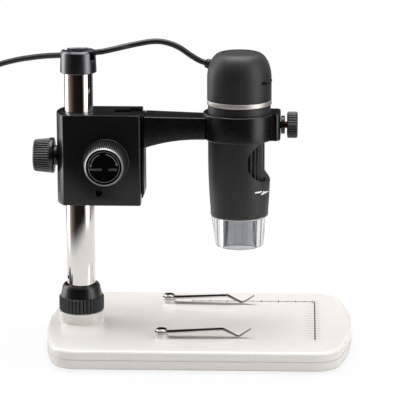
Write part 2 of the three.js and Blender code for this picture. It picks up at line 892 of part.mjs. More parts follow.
// Knobs
function clampKnob() {
  const rim = clamp_neck_length + clamp_rim_length;
  const end = rim + clamp_grip_length;
  const rib_depth = clamp_rim_radius - clamp_grip_radius;
  const head = revolve([
    [0, 0],
    [clamp_neck_radius, 0],
    [clamp_neck_radius, clamp_neck_length],
    [clamp_rim_radius - rib_depth / 2, clamp_neck_length],
    [clamp_rim_radius, clamp_neck_length + rib_depth / 2],
    [clamp_rim_radius - rib_depth / 2, rim],
    [0, rim],
  ], 24);
  const grip = ribbed([
    [clamp_grip_radius, rim, 1],
    [clamp_end_radius, end - rib_depth, 1],
    [clamp_end_radius - 2 * rib_depth, end, 0],
  ], clamp_ribs, rib_depth);
  return cut(
    join(head, grip),
    cylinder(clamp_screw_radius + running_gap, 2 * (clamp_neck_length + clamp_rim_length), 16),
  );
}

// The screw squeezes the bush onto the pole through a soft pad at its inner end.
function clampScrew() {
  const inside = clamp_neck_length + clamp_rim_length - running_gap;
  const inner = block_end + bush_radius + clamp_pad_thickness + running_gap;
  return revolve([
    [0, inner],
    [clamp_screw_radius, inner],
    [clamp_screw_radius, inside],
    [0, inside],
  ], 14);
}

function clampPad() {
  return revolve([
    [0, 0],
    [clamp_pad_radius, 0],
    [clamp_pad_radius, clamp_pad_thickness],
    [0, clamp_pad_thickness],
  ], 12);
}

function focusKnob() {
  const rim = knob_hub_length + knob_rim_length;
  const end = knob_hub_length + knob_length;
  const head = revolve([
    [0, 0],
    [knob_hub_radius, 0],
    [knob_hub_radius, knob_hub_length],
    [knob_radius, knob_hub_length],
    [knob_radius, rim],
    [0, rim],
  ], 28);
  const grip = ribbed([
    [knob_radius, rim, 1],
    [knob_end_radius, end - knob_end_edge, 1],
    [knob_end_radius - knob_end_edge, end, 0],
  ], knob_ribs, knob_rib_depth);
  const recess = cylinder(knob_face_radius, 2 * (knob_face_recess + knob_disc_thickness), 28);
  const shaft_way = knob_hub_length + knob_bore_depth + running_gap;
  return cut(
    join(head, grip),
    recess.translate(0, 0, end),
    cylinder(shaft_radius + running_gap, 2 * shaft_way, 14),
  );
}

function knobDisc() {
  const radius = knob_face_radius - running_gap;
  return revolve([
    [0, 0],
    [radius, 0],
    [radius, knob_disc_thickness],
    [0, knob_disc_thickness],
  ], 28);
}

// Arm and ring: one casting
function armSection(x, depth, top, bottom) {
  const y = depth / 2;
  const e = arm_edge;
  return [
    [x, -y + e, bottom], [x, y - e, bottom], [x, y, bottom + e], [x, y, top - e],
    [x, y - e, top], [x, -y + e, top], [x, -y, top - e], [x, -y, bottom + e],
  ];
}

function ringArm() {
  const root = block_right + 2 * running_gap + slide_plate;
  const tip = scope_x - ring_bore - (ring_radius - ring_bore) / 2;
  const steps = 8;
  const sections = Array.from({ length: steps + 1 }, (_, i) => {
    const t = i / steps;
    const top = arm_top - arm_top_drop * t;
    const bottom = arm_top - arm_top_drop * t - arm_height_tip
      - (arm_height_root - arm_height_tip) * (1 - t) ** arm_sweep;
    return armSection(root + (tip - root) * t, arm_depth_root + (arm_depth_tip - arm_depth_root) * t, top, bottom);
  });
  const arm = loft(sections);
  const ring = revolve([
    [0, ring_base],
    [ring_radius - ring_edge, ring_base],
    [ring_radius, ring_base + ring_edge],
    [ring_radius, ring_top - ring_edge],
    [ring_radius - ring_edge, ring_top],
    [0, ring_top],
  ], 32).translate(scope_x, 0, 0);
  const half = ear_depth / 2;
  const ear_start = scope_x + ring_bore / 2;
  const ear_outline = [
    [ear_start, -half],
    ...arc(ear_right - ear_corner, -half + ear_corner, ear_corner, -90, 0, 4),
    ...arc(ear_right - ear_corner, half - ear_corner, ear_corner, 0, 90, 4),
    [ear_start, half],
  ];
  const ear = prism(ear_outline, ring_base, ring_height, ring_edge);
  const notch_x = scope_x + Math.sqrt((ring_radius + ear_notch_radius / 2) ** 2 - half ** 2);
  const notches = [-half, half].map((y) => (
    cylinder(ear_notch_radius, 2 * ring_height, 12)
      .translate(notch_x, y + Math.sign(y) * ear_notch_radius / 2, ring_base + ring_height / 2)
  ));
  const bore = cylinder(ring_bore, 2 * ring_height, 32).translate(scope_x, 0, ring_base + ring_height / 2);
  const screw_way = alongX(cylinder(ear_screw_radius + running_gap, ear_reach, 12));
  screw_way.translate(ear_right, 0, thumb_z);
  return cut(join(arm, cut(join(ring, ear), ...notches)), bore, screw_way);
}

function ringWasher() {
  return ringOf([
    [ear_screw_radius + running_gap, 0],
    [washer_radius, 0],
    [washer_radius, washer_length - running_gap],
    [ear_screw_radius + running_gap, washer_length - running_gap],
  ], 18);
}

function ringScrew() {
  const inner = -(ear_reach - ring_bore) + tip_length + 2 * running_gap;
  const outer = washer_length + thumb_gap + thumb_length - 2 * thumb_edge;
  return revolve([
    [0, inner],
    [ear_screw_radius, inner],
    [ear_screw_radius, outer],
    [0, outer],
  ], 12);
}

function ringScrewTip() {
  return revolve([
    [0, 0],
    [tip_radius, 0],
    [tip_radius, tip_length],
    [0, tip_length],
  ], 12);
}

function thumbKnob() {
  const body = ribbed([
    [thumb_radius - thumb_edge, 0, 0],
    [thumb_radius, thumb_edge, 1],
    [thumb_radius, thumb_length - thumb_edge, 1],
    [thumb_radius - thumb_edge, thumb_length, 0],
  ], thumb_ribs, thumb_rib_depth);
  return cut(body, cylinder(ear_screw_radius + running_gap, 2 * (thumb_length - 2 * thumb_edge + running_gap), 16));
}

// Microscope. Its pieces are built about the optical axis and turned together.
function domeProfile(inset, steps) {
  const rise = dome_shoulder_rise - inset;
  const run = dome_radius - dome_button_radius;
  const shoulder = scope_top - dome_shoulder_rise;
  return Array.from({ length: steps + 1 }, (_, i) => {
    const angle = turn(90 * i / steps);
    return [dome_button_radius - inset + run * Math.cos(angle) ** dome_share, shoulder + rise * Math.sin(angle)];
  });
}

// The lead's strain relief passes through the dome's wall, so it is placed in the dome's own frame.
function reliefForm(radius, tip_radius, length) {
  const heading = new THREE.Vector3(...lead_arch_points[1]).sub(new THREE.Vector3(...lead_arch_points[0])).normalize();
  const start = new THREE.Vector3(...lead_arch_points[0]).addScaledVector(heading, -relief_length - lead_gap);
  const form = revolve([
    [0, 0],
    [radius, 0],
    [tip_radius, length],
    [0, length],
  ], 12);
  form.applyQuaternion(new THREE.Quaternion().setFromUnitVectors(new THREE.Vector3(0, 0, 1), heading));
  form.translate(...start.toArray());
  form.translate(-scope_x, 0, 0);
  return form.rotateZ(-turn(window_turn));
}

function scopeDome() {
  const low = band_top + running_gap;
  const button_room = dome_button_radius + running_gap;
  const inside = [[0, low - overrun], [dome_radius - dome_wall, low - overrun], ...domeProfile(dome_wall, 3)];
  const shell = cut(
    revolve([[0, low], [dome_radius, low], ...domeProfile(0, 5), [0, scope_top]], 32),
    overlapOf(
      revolve([...inside, [0, scope_top - dome_wall]], 20),
      cylinder(2 * dome_radius, 2 * (button_seat - dome_wall - low + overrun), 8).translate(0, 0, low - overrun),
    ),
  );
  const button_way = cylinder(button_room, 2 * (scope_top - button_seat), 24).translate(0, 0, scope_top);
  const stem_way = cylinder(switch_radius + running_gap, 2 * (scope_top - button_seat + 2 * dome_wall), 16)
    .translate(0, 0, scope_top);
  const relief_way = reliefForm(
    relief_radius + running_gap, relief_radius + running_gap, relief_length + relief_radius,
  );
  const wheel_slot = cylinder(wheel_slot_reach, wheel_slot_height, 28)
    .translate(wheel_slot_x, 0, wheel_z);
  return cut(shell, button_way, stem_way, relief_way, wheel_slot);
}

function snapshotButton() {
  const top = scope_top;
  const low = top - button_height;
  const stem = switch_radius;
  const stem_end = switch_board_z + board_thickness + button_travel + running_gap;
  return revolve([
    [0, stem_end],
    [stem, stem_end],
    [stem, low],
    [dome_button_radius, low],
    [dome_button_radius, top - button_edge],
    [dome_button_radius - button_edge, top],
    [0, top],
  ], 24);
}

function dimmerWheel() {
  const body = ribbed([
    [wheel_radius, -wheel_thickness / 2, 1],
    [wheel_radius, wheel_thickness / 2, 1],
  ], wheel_ribs, wheel_stand_out / 2);
  return cut(body, cylinder(wheel_hub_radius + running_gap, 2 * wheel_thickness, 12));
}

function wheelSpindle() {
  const low = board_z + board_thickness + running_gap;
  const top = wheel_z + wheel_thickness / 2 + running_gap;
  return revolve([
    [0, low],
    [2 * wheel_hub_radius, low],
    [2 * wheel_hub_radius, wheel_z - wheel_thickness / 2 - running_gap],
    [wheel_hub_radius, wheel_z - wheel_thickness / 2 - running_gap],
    [wheel_hub_radius, top],
    [0, top],
  ], 12);
}

function trimRing() {
  const inner = band_radius - band_wall;
  return ringOf([
    [inner, band_base],
    [band_radius, band_base],
    [band_radius, band_top],
    [inner, band_top],
  ], 32);
}

function scopeBarrel() {
  const bore_low = barrel_lower_radius - barrel_wall;
  const bore = roller_radius + running_gap;
  const outer = [
    [0, barrel_base],
    [barrel_lower_radius - barrel_edge / 2, barrel_base],
    [barrel_lower_radius, barrel_base + barrel_edge],
    [barrel_upper_radius - barrel_edge / 2, barrel_shoulder - barrel_edge],
    [barrel_upper_radius, barrel_shoulder + 4 * barrel_edge],
    [barrel_upper_radius, barrel_top],
    [0, barrel_top],
  ];
  const roller_low = window_z - roller_height / 2 - running_gap;
  const roller_high = window_z + roller_height / 2 + running_gap;
  const cavity = revolve([
    [0, barrel_base - overrun],
    [nose_spigot_radius + running_gap, barrel_base - overrun],
    [nose_spigot_radius + running_gap, barrel_base + nose_spigot + running_gap],
    [bore_low, barrel_base + nose_spigot + 2 * running_gap],
    [bore_low, roller_low - running_gap],
    [bore, roller_low],
    [bore, roller_high],
    [bore, barrel_top + overrun],
    [0, barrel_top + overrun],
  ], 32);
  const steps = 24;
  const window_outline = Array.from({ length: steps }, (_, i) => {
    const angle = 2 * Math.PI * i / steps;
    const spread = turn(window_spread) * Math.cos(angle);
    return [barrel_upper_radius * Math.sin(spread), window_height * Math.sin(angle)];
  });
  const window_cut = prism(window_outline, 0, 2 * barrel_upper_radius);
  window_cut.rotateY(Math.PI / 2);
  window_cut.rotateX(Math.PI / 2);
  window_cut.translate(0, 0, window_z);
  return cut(revolve(outer, 32), cavity, window_cut);
}

function focusRoller() {
  const low = window_z - roller_height / 2;
  const high = window_z + roller_height / 2;
  const body = ribbed([
    [roller_radius, low, 1],
    [roller_radius, high, 1],
  ], roller_ribs, roller_rib_depth);
  return cut(body, cylinder(roller_radius - roller_wall, 2 * roller_height, 24).translate(0, 0, window_z));
}

function lensTube() {
  const flange = roller_radius - roller_wall - running_gap;
  const inner = lens_tube_radius - lens_tube_wall;
  const seat = lens_tube_base + lens_thickness + 2 * running_gap;
  return ringOf([
    [inner, lens_tube_base],
    [lens_tube_radius, lens_tube_base],
    [lens_tube_radius, window_z - roller_height / 2],
    [flange, window_z - roller_height / 2],
    [flange, window_z + roller_height / 4],
    [lens_tube_radius, window_z + roller_height / 4],
    [lens_tube_radius, lens_tube_top],
    [inner - lens_tube_wall, lens_tube_top],
    [inner - lens_tube_wall, seat],
    [inner, seat],
  ], 16);
}

function frontLens() {
  return revolve([
    [0, lens_tube_base - lens_thickness / 4 + running_gap],
    [lens_radius, lens_tube_base + running_gap],
    [lens_radius, lens_tube_base + lens_thickness],
    [0, lens_tube_base + lens_thickness + running_gap],
  ], 20);
}

function sensorBoard() {
  const board = cylinder(board_radius - running_gap, board_thickness, 28).translate(0, 0, board_z + board_thickness / 2);
  const chip = box(sensor_side, sensor_side, sensor_height, 0, 0, board_z - sensor_height / 2 + weld_distance);
  return join(board, chip);
}

function switchBoard() {
  const radius = dome_button_radius;
  return cylinder(radius, board_thickness, 24).translate(0, 0, switch_board_z + board_thickness / 2);
}

// The lights stand on the underside of their board and are one body with it.
function lightBoard() {
  const board = ringOf([
    [light_board_bore + lens_tube_wall, light_board_z],
    [light_board_radius, light_board_z],
    [light_board_radius, light_board_z + light_board_thickness],
    [light_board_bore + lens_tube_wall, light_board_z + light_board_thickness],
  ], 20);
  const lights = Array.from({ length: light_count }, (_, i) => {
    const light = revolve([
      [0, -light_height],
      [light_radius, light_radius - light_height],
      [light_radius, light_board_thickness / 2],
      [0, light_board_thickness / 2],
    ], 6);
    return light.translate(light_ring_radius, 0, light_board_z).rotateZ(2 * Math.PI * i / light_count);
  });
  return join(board, ...lights);
}

function noseCone() {
  const top = barrel_base - running_gap;
  const spigot_top = barrel_base + nose_spigot - running_gap - light_board_thickness - running_gap;
  return ringOf([
    [nose_bore_bottom, nose_base],
    [nose_bottom_radius - nose_edge, nose_base],
    [nose_bottom_radius, nose_base + nose_edge],
    [nose_top_radius, top],
    [nose_spigot_radius, top],
    [nose_spigot_radius, spigot_top],
    [nose_bore_top - nose_edge, spigot_top],
    [nose_bore_bottom + nose_edge, nose_base + nose_edge],
  ], 28);
}

// Lead
function tubeAlong(points, radius, sides, steps) {
  const curve = new THREE.CatmullRomCurve3(points.map((point) => new THREE.Vector3(...point)), false, 'centripetal');
  const section = new THREE.Shape(
    Array.from({ length: sides }, (_, i) => {
      const angle = 2 * Math.PI * (i + 0.5) / sides;
      return new THREE.Vector2(radius * Math.cos(angle), radius * Math.sin(angle));
    }),
  );
  return new THREE.ExtrudeGeometry(section, { steps, extrudePath: curve, bevelEnabled: false });
}

// The coil's centre line: wound in and out through its layers from the top one down, ending on the
// table. Each half turn where the spiral reverses takes it down a layer.
function coilLine() {
  const across = coil_turns_across * coil_pitch;
  const turns = coil_turns_across * coil_layers;
  const start = Math.PI / 2 - Math.PI / coil_steps;
  const count = Math.round(turns * coil_steps);
  const table_z = lead_radius - coil_flat;
  return Array.from({ length: count + 1 }, (_, i) => {
    const wound = i / coil_steps;
    const layer = Math.min(coil_layers - 1, Math.floor(wound / coil_turns_across));
    const within = wound / coil_turns_across - layer;
    const inward = layer % 2 === 0 ? within : 1 - within;
    const radius = coil_mid_radius + across / 2 - across * inward;
    const climb_turns = (within * coil_turns_across - (coil_turns_across - 0.25)) / 0.5;
    const entry_turns = (within * coil_turns_across + 0.25) / 0.5;
    const leaving = layer < coil_layers - 1 ? Math.max(0, climb_turns) : 0;
    const arriving = layer > 0 ? Math.max(0, 1 - entry_turns) : 0;
    const level = coil_layers - 1 - layer - leaving + arriving;
    const angle = start + 2 * Math.PI * wound;
    return [
      coil_x + radius * Math.cos(angle),
      coil_y + radius * Math.sin(angle),
      table_z + coil_pitch * level,
    ];
  });
}

function endOf(line, back) {
  const last = new THREE.Vector3(...line[back ? 0 : line.length - 1]);
  const before = new THREE.Vector3(...line[back ? 1 : line.length - 2]);
  const direction = last.clone().sub(before);
  direction.z = 0;
  direction.normalize();
  return [last, direction];
}

function coilTube(line) {
  const [first, out_start] = endOf(line, true);
  const [last, out_end] = endOf(line, false);
  const whole = [
    first.clone().addScaledVector(out_start, lead_diameter).toArray(),
    ...line,
    last.clone().addScaledVector(out_end, lead_diameter).toArray(),
  ];
  const rings = whole.map((point, i) => {
    const before = new THREE.Vector3(...whole[Math.max(0, i - 1)]);
    const after = new THREE.Vector3(...whole[Math.min(whole.length - 1, i + 1)]);
    const forward = after.sub(before).normalize();
    const side = new THREE.Vector3(0, 0, 1).cross(forward).normalize();
    const up = forward.clone().cross(side);
    return Array.from({ length: coil_sides }, (_, k) => {
      const angle = 2 * Math.PI * k / coil_sides;
      return new THREE.Vector3(...point)
        .addScaledVector(side, lead_radius * Math.cos(angle))
        .addScaledVector(up, lead_radius * Math.sin(angle))
        .toArray();
    });
  });
  return cut(loft(rings), box(
    8 * coil_mid_radius, 8 * coil_mid_radius, 2 * lead_diameter,
    coil_x, coil_y, -lead_diameter,
  ));
}

function leastGap(line, pitch_steps) {
  let least = Infinity;
  for (let i = 0; i < line.length; i += 1) {
    for (let j = i + pitch_steps; j < line.length; j += 1) {
      least = Math.min(least, new THREE.Vector3(...line[i]).distanceTo(new THREE.Vector3(...line[j])));
    }
  }
  return least - lead_diameter;
}

function lengthOf(points) {
  return new THREE.CatmullRomCurve3(points.map((point) => new THREE.Vector3(...point)), false, 'centripetal').getLength();
}

// The lead's last stretch comes straight off the coil and rises to the plug's middle.
function tailPoints(line) {
  const [last, out] = endOf(line, false);
  const start = last.clone().addScaledVector(out, lead_diameter + lead_gap);
  const plug_z = plug_height / 2;
  return Array.from({ length: tail_spans + 1 }, (_, i) => {
    const t = i / tail_spans;
    const lift = t * t * (3 - 2 * t);
    const point = start.clone().addScaledVector(out, tail_length * t);
    return [point.x, point.y, start.z + coil_flat + (plug_z - start.z - coil_flat) * lift];
  });
}

function plugBody() {
  const body = prism(roundedRectangle(plug_width, plug_height, plug_corner, 3), plug_neck_length, plug_length, plug_corner / 2);
  const neck = revolve([
    [0, 0],
    [plug_neck_radius - plug_shell_wall, 0],
    [plug_neck_radius, plug_neck_length + overrun],
    [0, plug_neck_length + overrun],
  ], 16);
  return join(body, neck);
}

function plugShell() {
  const start = plug_neck_length + plug_length + running_gap;
  const outer = prism(
    roundedRectangle(plug_shell_width, plug_shell_height, plug_shell_wall, 1), start, plug_shell_length,
  );
  const mouth = box(
    plug_shell_width - 2 * plug_shell_wall, plug_shell_height - 2 * plug_shell_wall, plug_shell_length,
    0, 0, start + plug_shell_length / 2 + plug_tongue_height,
  );
  const tongue = box(
    plug_shell_width - 3 * plug_shell_wall, plug_tongue_height, plug_shell_length - plug_tongue_height,
    0, -plug_shell_height / 2 + plug_shell_wall / 2 + plug_tongue_height / 2, start + plug_shell_length / 2,
  );
  return join(cut(outer, mouth), tongue);
}

// Materials
const off_white = new THREE.MeshStandardMaterial({ color: 0xe6e1dc, roughness: 0.35 });
const rubber = new THREE.MeshStandardMaterial({ color: 0x1c1c1c, roughness: 0.9 });
const soft_grey = new THREE.MeshStandardMaterial({ color: 0x3a3b3c, roughness: 0.6 });
const satin_black = new THREE.MeshStandardMaterial({ color: 0x141415, roughness: 0.35 });
const gloss_black = new THREE.MeshStandardMaterial({ color: 0x0c0c0e, roughness: 0.15 });
const chrome = new THREE.MeshStandardMaterial({ color: 0xd8d8da, roughness: 0.08, metalness: 1 });
const steel = new THREE.MeshStandardMaterial({ color: 0x8d9096, roughness: 0.35, metalness: 1 });
const satin_silver = new THREE.MeshStandardMaterial({ color: 0xc6c2bf, roughness: 0.3, metalness: 1 });
const brass = new THREE.MeshStandardMaterial({ color: 0xc08a3a, roughness: 0.3, metalness: 1 });
const clear_plastic = new THREE.MeshStandardMaterial({ color: 0xd9dcdf, roughness: 0.05, opacity: 0.4, transparent: true });
const glass = new THREE.MeshStandardMaterial({ color: 0xb9c6d2, roughness: 0.02, opacity: 0.5, transparent: true });
const green_board = new THREE.MeshStandardMaterial({ color: 0x1f5a3a, roughness: 0.5 });
const white_plastic = new THREE.MeshStandardMaterial({ color: 0xf2f0ea, roughness: 0.4 });

// Assembly
const stand = new THREE.Group();

function add(parent, name, geometry, material, x = 0, y = 0, z = 0) {
  const mesh = new THREE.Mesh(welded(geometry), material);
  mesh.name = name;
  mesh.position.set(x, y, z);
  parent.add(mesh);
  return mesh;
}

add(stand, 'base_cover', baseCover(), off_white);
add(stand, 'base_tray', baseTray(), off_white);
add(stand, 'ballast_plate', ballastPlate(), steel);
footPlaces().forEach(([x, y], i) => add(stand, `rubber_foot_${i + 1}`, rubberFoot(), rubber, x, y));
post_rows.forEach((x, i) => post_sides.forEach((y, j) => (
  add(stand, `base_screw_${2 * i + j + 1}`, baseScrew(), steel, x, y)
)));
add(stand, 'pole_tube', poleTube(), chrome);
add(stand, 'pole_cap', poleCap(), satin_black);
add(stand, 'lock_collar', lockCollar(), gloss_black);
add(stand, 'stage_clip_rear', stageClip(0), chrome, clip_pivot_x, clip_rear_y);
add(stand, 'stage_clip_front', stageClip(clip_front_degrees), chrome, clip_pivot_x, clip_front_y);
add(stand, 'clip_stud_rear', clipStud(), chrome, clip_pivot_x, clip_rear_y);
add(stand, 'clip_stud_front', clipStud(), chrome, clip_pivot_x, clip_front_y);

add(stand, 'pole_bush', poleBush(), satin_black);
add(stand, 'focus_block', focusBlock(), satin_black);
add(stand, 'set_screw', setScrew(), steel, set_hole_x, block_front + set_screw_sink, block_base + set_hole_z);
const clamp_start = block_end - running_gap;
add(stand, 'clamp_knob', alongMinusX(clampKnob()), satin_black, clamp_start, 0, gear_z);
add(stand, 'clamp_screw', alongMinusX(clampScrew()), steel, clamp_start, 0, gear_z);
add(stand, 'clamp_pad', alongMinusX(clampPad()), white_plastic, -bush_radius - running_gap, 0, gear_z);
add(stand, 'pinion_shaft', pinionShaft(), steel, gear_x, 0, gear_z);
add(stand, 'pinion_gear', pinionGear(), brass, gear_x, 0, gear_z);
add(stand, 'focus_knob', alongY(focusKnob()), satin_black, gear_x, -block_front + running_gap, gear_z);
add(stand, 'lock_knob', alongMinusY(focusKnob()), satin_black, gear_x, block_front - running_gap, gear_z);
const disc_start = running_gap + knob_hub_length + knob_length - knob_face_recess - knob_disc_thickness + running_gap;
add(stand, 'lock_knob_disc', alongMinusY(knobDisc()), gloss_black, gear_x, block_front - disc_start, gear_z);
add(stand, 'focus_knob_disc', alongY(knobDisc()), gloss_black, gear_x, -block_front + disc_start, gear_z);
add(stand, 'dovetail_slide', dovetailSlide(), gloss_black);
add(stand, 'gear_rack', gearRack(), brass);

add(stand, 'ring_arm', ringArm(), gloss_black);
add(stand, 'ring_washer', alongX(ringWasher()), satin_black, ear_right + running_gap, 0, thumb_z);
add(stand, 'ring_screw', alongX(ringScrew()), brass, ear_right, 0, thumb_z);
add(stand, 'ring_screw_tip', alongX(ringScrewTip()), white_plastic, scope_x + ring_bore, 0, thumb_z);
add(stand, 'ring_knob', alongX(thumbKnob()), satin_black, thumb_start, 0, thumb_z);

const scope = new THREE.Group();
scope.position.set(scope_x, 0, 0);
scope.rotation.z = turn(window_turn);
stand.add(scope);
add(scope, 'scope_dome', scopeDome(), soft_grey);
add(scope, 'strain_relief', reliefForm(relief_radius, relief_tip_radius, relief_length), rubber);
add(scope, 'snapshot_button', snapshotButton(), soft_grey);
add(scope, 'switch_board', switchBoard(), green_board);
add(scope, 'dimmer_wheel', dimmerWheel(), rubber, wheel_centre, 0, wheel_z);
add(scope, 'wheel_spindle', wheelSpindle(), white_plastic, wheel_centre, 0);
add(scope, 'trim_ring', trimRing(), satin_silver);
add(scope, 'scope_barrel', scopeBarrel(), soft_grey);
add(scope, 'focus_roller', focusRoller(), rubber);
add(scope, 'lens_tube', lensTube(), gloss_black);
add(scope, 'front_lens', frontLens(), glass);
add(scope, 'sensor_board', sensorBoard(), green_board);
add(scope, 'light_board', lightBoard(), white_plastic);
add(scope, 'nose_cone', noseCone(), clear_plastic);

const coil_line = coilLine();
const [coil_start, coil_out] = endOf(coil_line, true);
const drop_end = coil_start.clone().addScaledVector(coil_out, lead_diameter + lead_gap).toArray();
const arch_end = new THREE.Vector3(...lead_arch_points[lead_arch_points.length - 1]);
const arch_before = new THREE.Vector3(...lead_arch_points[lead_arch_points.length - 2]);
const drop_start = arch_end.clone().addScaledVector(arch_end.clone().sub(arch_before).normalize(), lead_gap).toArray();
const drop_points = [drop_start, ...lead_slot_points, ...lead_drop_points, drop_end];
const tail_points = tailPoints(coil_line);
add(stand, 'lead_arch', tubeAlong(lead_arch_points, lead_radius, lead_sides, arch_steps), rubber);
add(stand, 'lead_drop', tubeAlong(drop_points, lead_radius, lead_sides, drop_steps), rubber);
add(stand, 'lead_coil', coilTube(coil_line), rubber);
add(stand, 'lead_tail', tubeAlong(tail_points, lead_radius, lead_sides, tail_steps), rubber);
const tail_end = new THREE.Vector3(...tail_points[tail_points.length - 1]);
const plug_heading = endOf(coil_line, false)[1];
const plug = new THREE.Group();
plug.position.copy(tail_end).addScaledVector(plug_heading, lead_gap);
plug.rotation.order = 'ZYX';
plug.rotation.z = Math.atan2(plug_heading.y, plug_heading.x) + Math.PI / 2;
plug.rotation.x = Math.PI / 2;
stand.add(plug);
add(plug, 'plug_body', plugBody(), rubber);
add(plug, 'plug_shell', plugShell(), steel);

const lead_total = lengthOf(lead_arch_points) + lengthOf(drop_points)
  + lengthOf(coil_line) + lengthOf(tail_points);
console.log(`lead length ${lead_total.toFixed(0)} mm, least gap in the coil ${leastGap(coil_line, coil_steps / 2).toFixed(2)} mm`);

// The origin is the middle of the stand's own box on the table, the lead left out.
const left_end = clamp_start - clamp_neck_length - clamp_rim_length - clamp_grip_length;
stand.position.x = -(left_end + base_right) / 2;

export default stand;
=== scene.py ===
"""A USB digital microscope held in the ring of its focusing stand, dressed for rendering.

Places are in millimetres from the pole's axis, with X along the base towards the stage, Y away from
the viewer and Z up from the table, as in the part's source. The functions piece and in_frame move
them to the frame, which is in metres.
"""
import math

import bmesh
import bpy
from mathutils import Matrix, Vector


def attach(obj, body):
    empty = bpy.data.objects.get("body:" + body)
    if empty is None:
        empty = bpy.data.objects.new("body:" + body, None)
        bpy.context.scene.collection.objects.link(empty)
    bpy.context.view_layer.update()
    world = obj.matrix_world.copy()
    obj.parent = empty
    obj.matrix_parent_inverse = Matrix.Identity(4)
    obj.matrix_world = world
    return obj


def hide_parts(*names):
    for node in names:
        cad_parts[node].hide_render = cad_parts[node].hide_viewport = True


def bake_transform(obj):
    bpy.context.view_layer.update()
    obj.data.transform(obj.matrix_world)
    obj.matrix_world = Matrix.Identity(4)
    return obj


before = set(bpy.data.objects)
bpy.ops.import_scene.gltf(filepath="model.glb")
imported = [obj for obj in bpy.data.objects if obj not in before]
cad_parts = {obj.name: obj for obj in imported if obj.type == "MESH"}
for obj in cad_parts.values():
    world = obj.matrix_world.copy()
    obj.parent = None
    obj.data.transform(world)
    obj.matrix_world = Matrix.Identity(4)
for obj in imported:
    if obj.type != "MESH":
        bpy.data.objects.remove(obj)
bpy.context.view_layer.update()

MM = 0.001
POLE_X = -63.15

# Sizes of the stand, as the part's source has them
base_length = 171.9
base_depth = 121
base_corner = 15
base_end_radius = 190
base_edge = 2
base_top = 12.2
base_middle = 67.15
tray_low = 1.5
seam_low = 6.6
seam_high = 7.0
wall = 2.4
foot_x = 67.95
foot_y = 42.5
foot_corners = ((-foot_x, -foot_y), (foot_x, -foot_y), (foot_x, foot_y), (-foot_x, foot_y))
foot_places = [(base_middle + x, y) for x, y in foot_corners]
screw_places = [(x, y) for x in (21.2, 113.1) for y in (-47.5, 47.5)]
pole_radius = 8
cap_base = 155.4
cap_top = 167.9
slot_turn = -31
clip_x = 47.5
clip_rear_y = 37.8
clip_front_y = -33.1
block_low = 82.2
block_high = 133.5
block_half = 14
block_right = 35.1
block_end = -12.5
gear_x = 16.2
gear_z = 107.9
set_hole_x = 11.7
set_hole_z = 7.2
running_gap = 0.3
arm_root = 37.1
scope_x = 89.6
ring_low = 118.7
ring_high = 133.6
ring_radius = 20.3
ring_bore = 17.75
ear_right = 112.6
thumb_z = 126.15

# How far the clips are turned at rest in the photograph, in degrees
clip_rear_turn = -3.3
clip_front_turn = 0.6

# The focus knobs, from the block's axis outwards: where they start, and where their disc sits in them
knob_start = block_half + running_gap
disc_seat = 14.5

# Sizes of the microscope
window_turn = -10
band_low = 138
band_high = 140.6
barrel_low = 75
barrel_low_radius = 16.2
barrel_swell = 1.3
swell_low = 78
swell_height = 32
window_z = 107
window_spread = 67
window_height = 12.4
roller_radius = 14.2
wheel_centre = 9.4
wheel_z = 151.6
dome_rise = 14.6
scope_top = 166.9

# Lead
lead_radius = 1.6
lead_gap = 0.35


# Drawing aids
def rounded(corners, closed=False, steps=5):
    """A line of points through corners (x, y) or (x, y, radius), with those corners rounded."""
    line = []
    count = len(corners)
    for i, corner in enumerate(corners):
        at = Vector(corner[:2])
        radius = corner[2] if len(corner) > 2 else 0
        if radius == 0 or (not closed and i in (0, count - 1)):
            line.append(tuple(at))
            continue
        back = Vector(corners[i - 1][:2]) - at
        ahead = Vector(corners[(i + 1) % count][:2]) - at
        half = back.angle(ahead) / 2
        reach = min(radius / math.tan(half), 0.499 * back.length, 0.499 * ahead.length)
        radius = reach * math.tan(half)
        back.normalize()
        ahead.normalize()
        centre = at + (back + ahead).normalized() * radius / math.sin(half)
        first = at + back * reach - centre
        last = at + ahead * reach - centre
        for k in range(steps + 1):
            line.append(tuple(centre + first.slerp(last, k / steps) * radius))
    return line


def arc(x, y, radius, start, end, steps):
    """Points on an arc between two angles in degrees."""
    line = []
    for k in range(steps + 1):
        angle = math.radians(start + (end - start) * k / steps)
        line.append((x + radius * math.cos(angle), y + radius * math.sin(angle)))
    return line


def rounded_rectangle(length, depth, corner, steps):
    """The outline of a rectangle with round corners, about its middle."""
    x = length / 2
    y = depth / 2
    corners = [(x, -y, corner), (x, y, corner), (-x, y, corner), (-x, -y, corner)]
    return rounded(corners, closed=True, steps=steps)


def loft(rings, closed=False, caps=True):
    """A skin over rings of equally many points. It closes on itself, or with a flat cap at each end."""
    form = bmesh.new()
    rows = [[form.verts.new(point) for point in ring] for ring in rings]
    count = len(rings[0])
    pairs = list(zip(rows, rows[1:]))
    if closed:
        pairs.append((rows[-1], rows[0]))
    for low, high in pairs:
        for i in range(count):
            j = (i + 1) % count
            form.faces.new((low[i], low[j], high[j], high[i]))
    if caps and not closed:
        form.faces.new(list(reversed(rows[0])))
        form.faces.new(rows[-1])
    return form


def turned(profile, steps=96, closed=False, wave=None):
    """A form turned about +Z from (radius, height) points. Points with a third value take that share
    of the wave, which gives how far the surface stands in at an angle."""
    rings = []
    for point in profile:
        radius, height = point[:2]
        share = point[2] if len(point) > 2 else 0
        ring = []
        for i in range(steps):
            angle = 2 * math.pi * i / steps
            r = max(radius, 0.001) - (share * wave(angle) if share else 0)
            ring.append((r * math.cos(angle), r * math.sin(angle), height))
        rings.append(ring)
    return loft(rings, closed=closed)


def lathe(corners, steps=96, hollow=False):
    """A form turned about +Z from corners (radius, height) or (radius, height, rounding)."""
    return turned(rounded(corners, closed=hollow), steps, closed=hollow)


def rod(radius, low, high, steps=48):
    """A plain round rod along Z. Most of them cut a hole."""
    return turned([(0, low), (radius, low), (radius, high), (0, high)], steps)


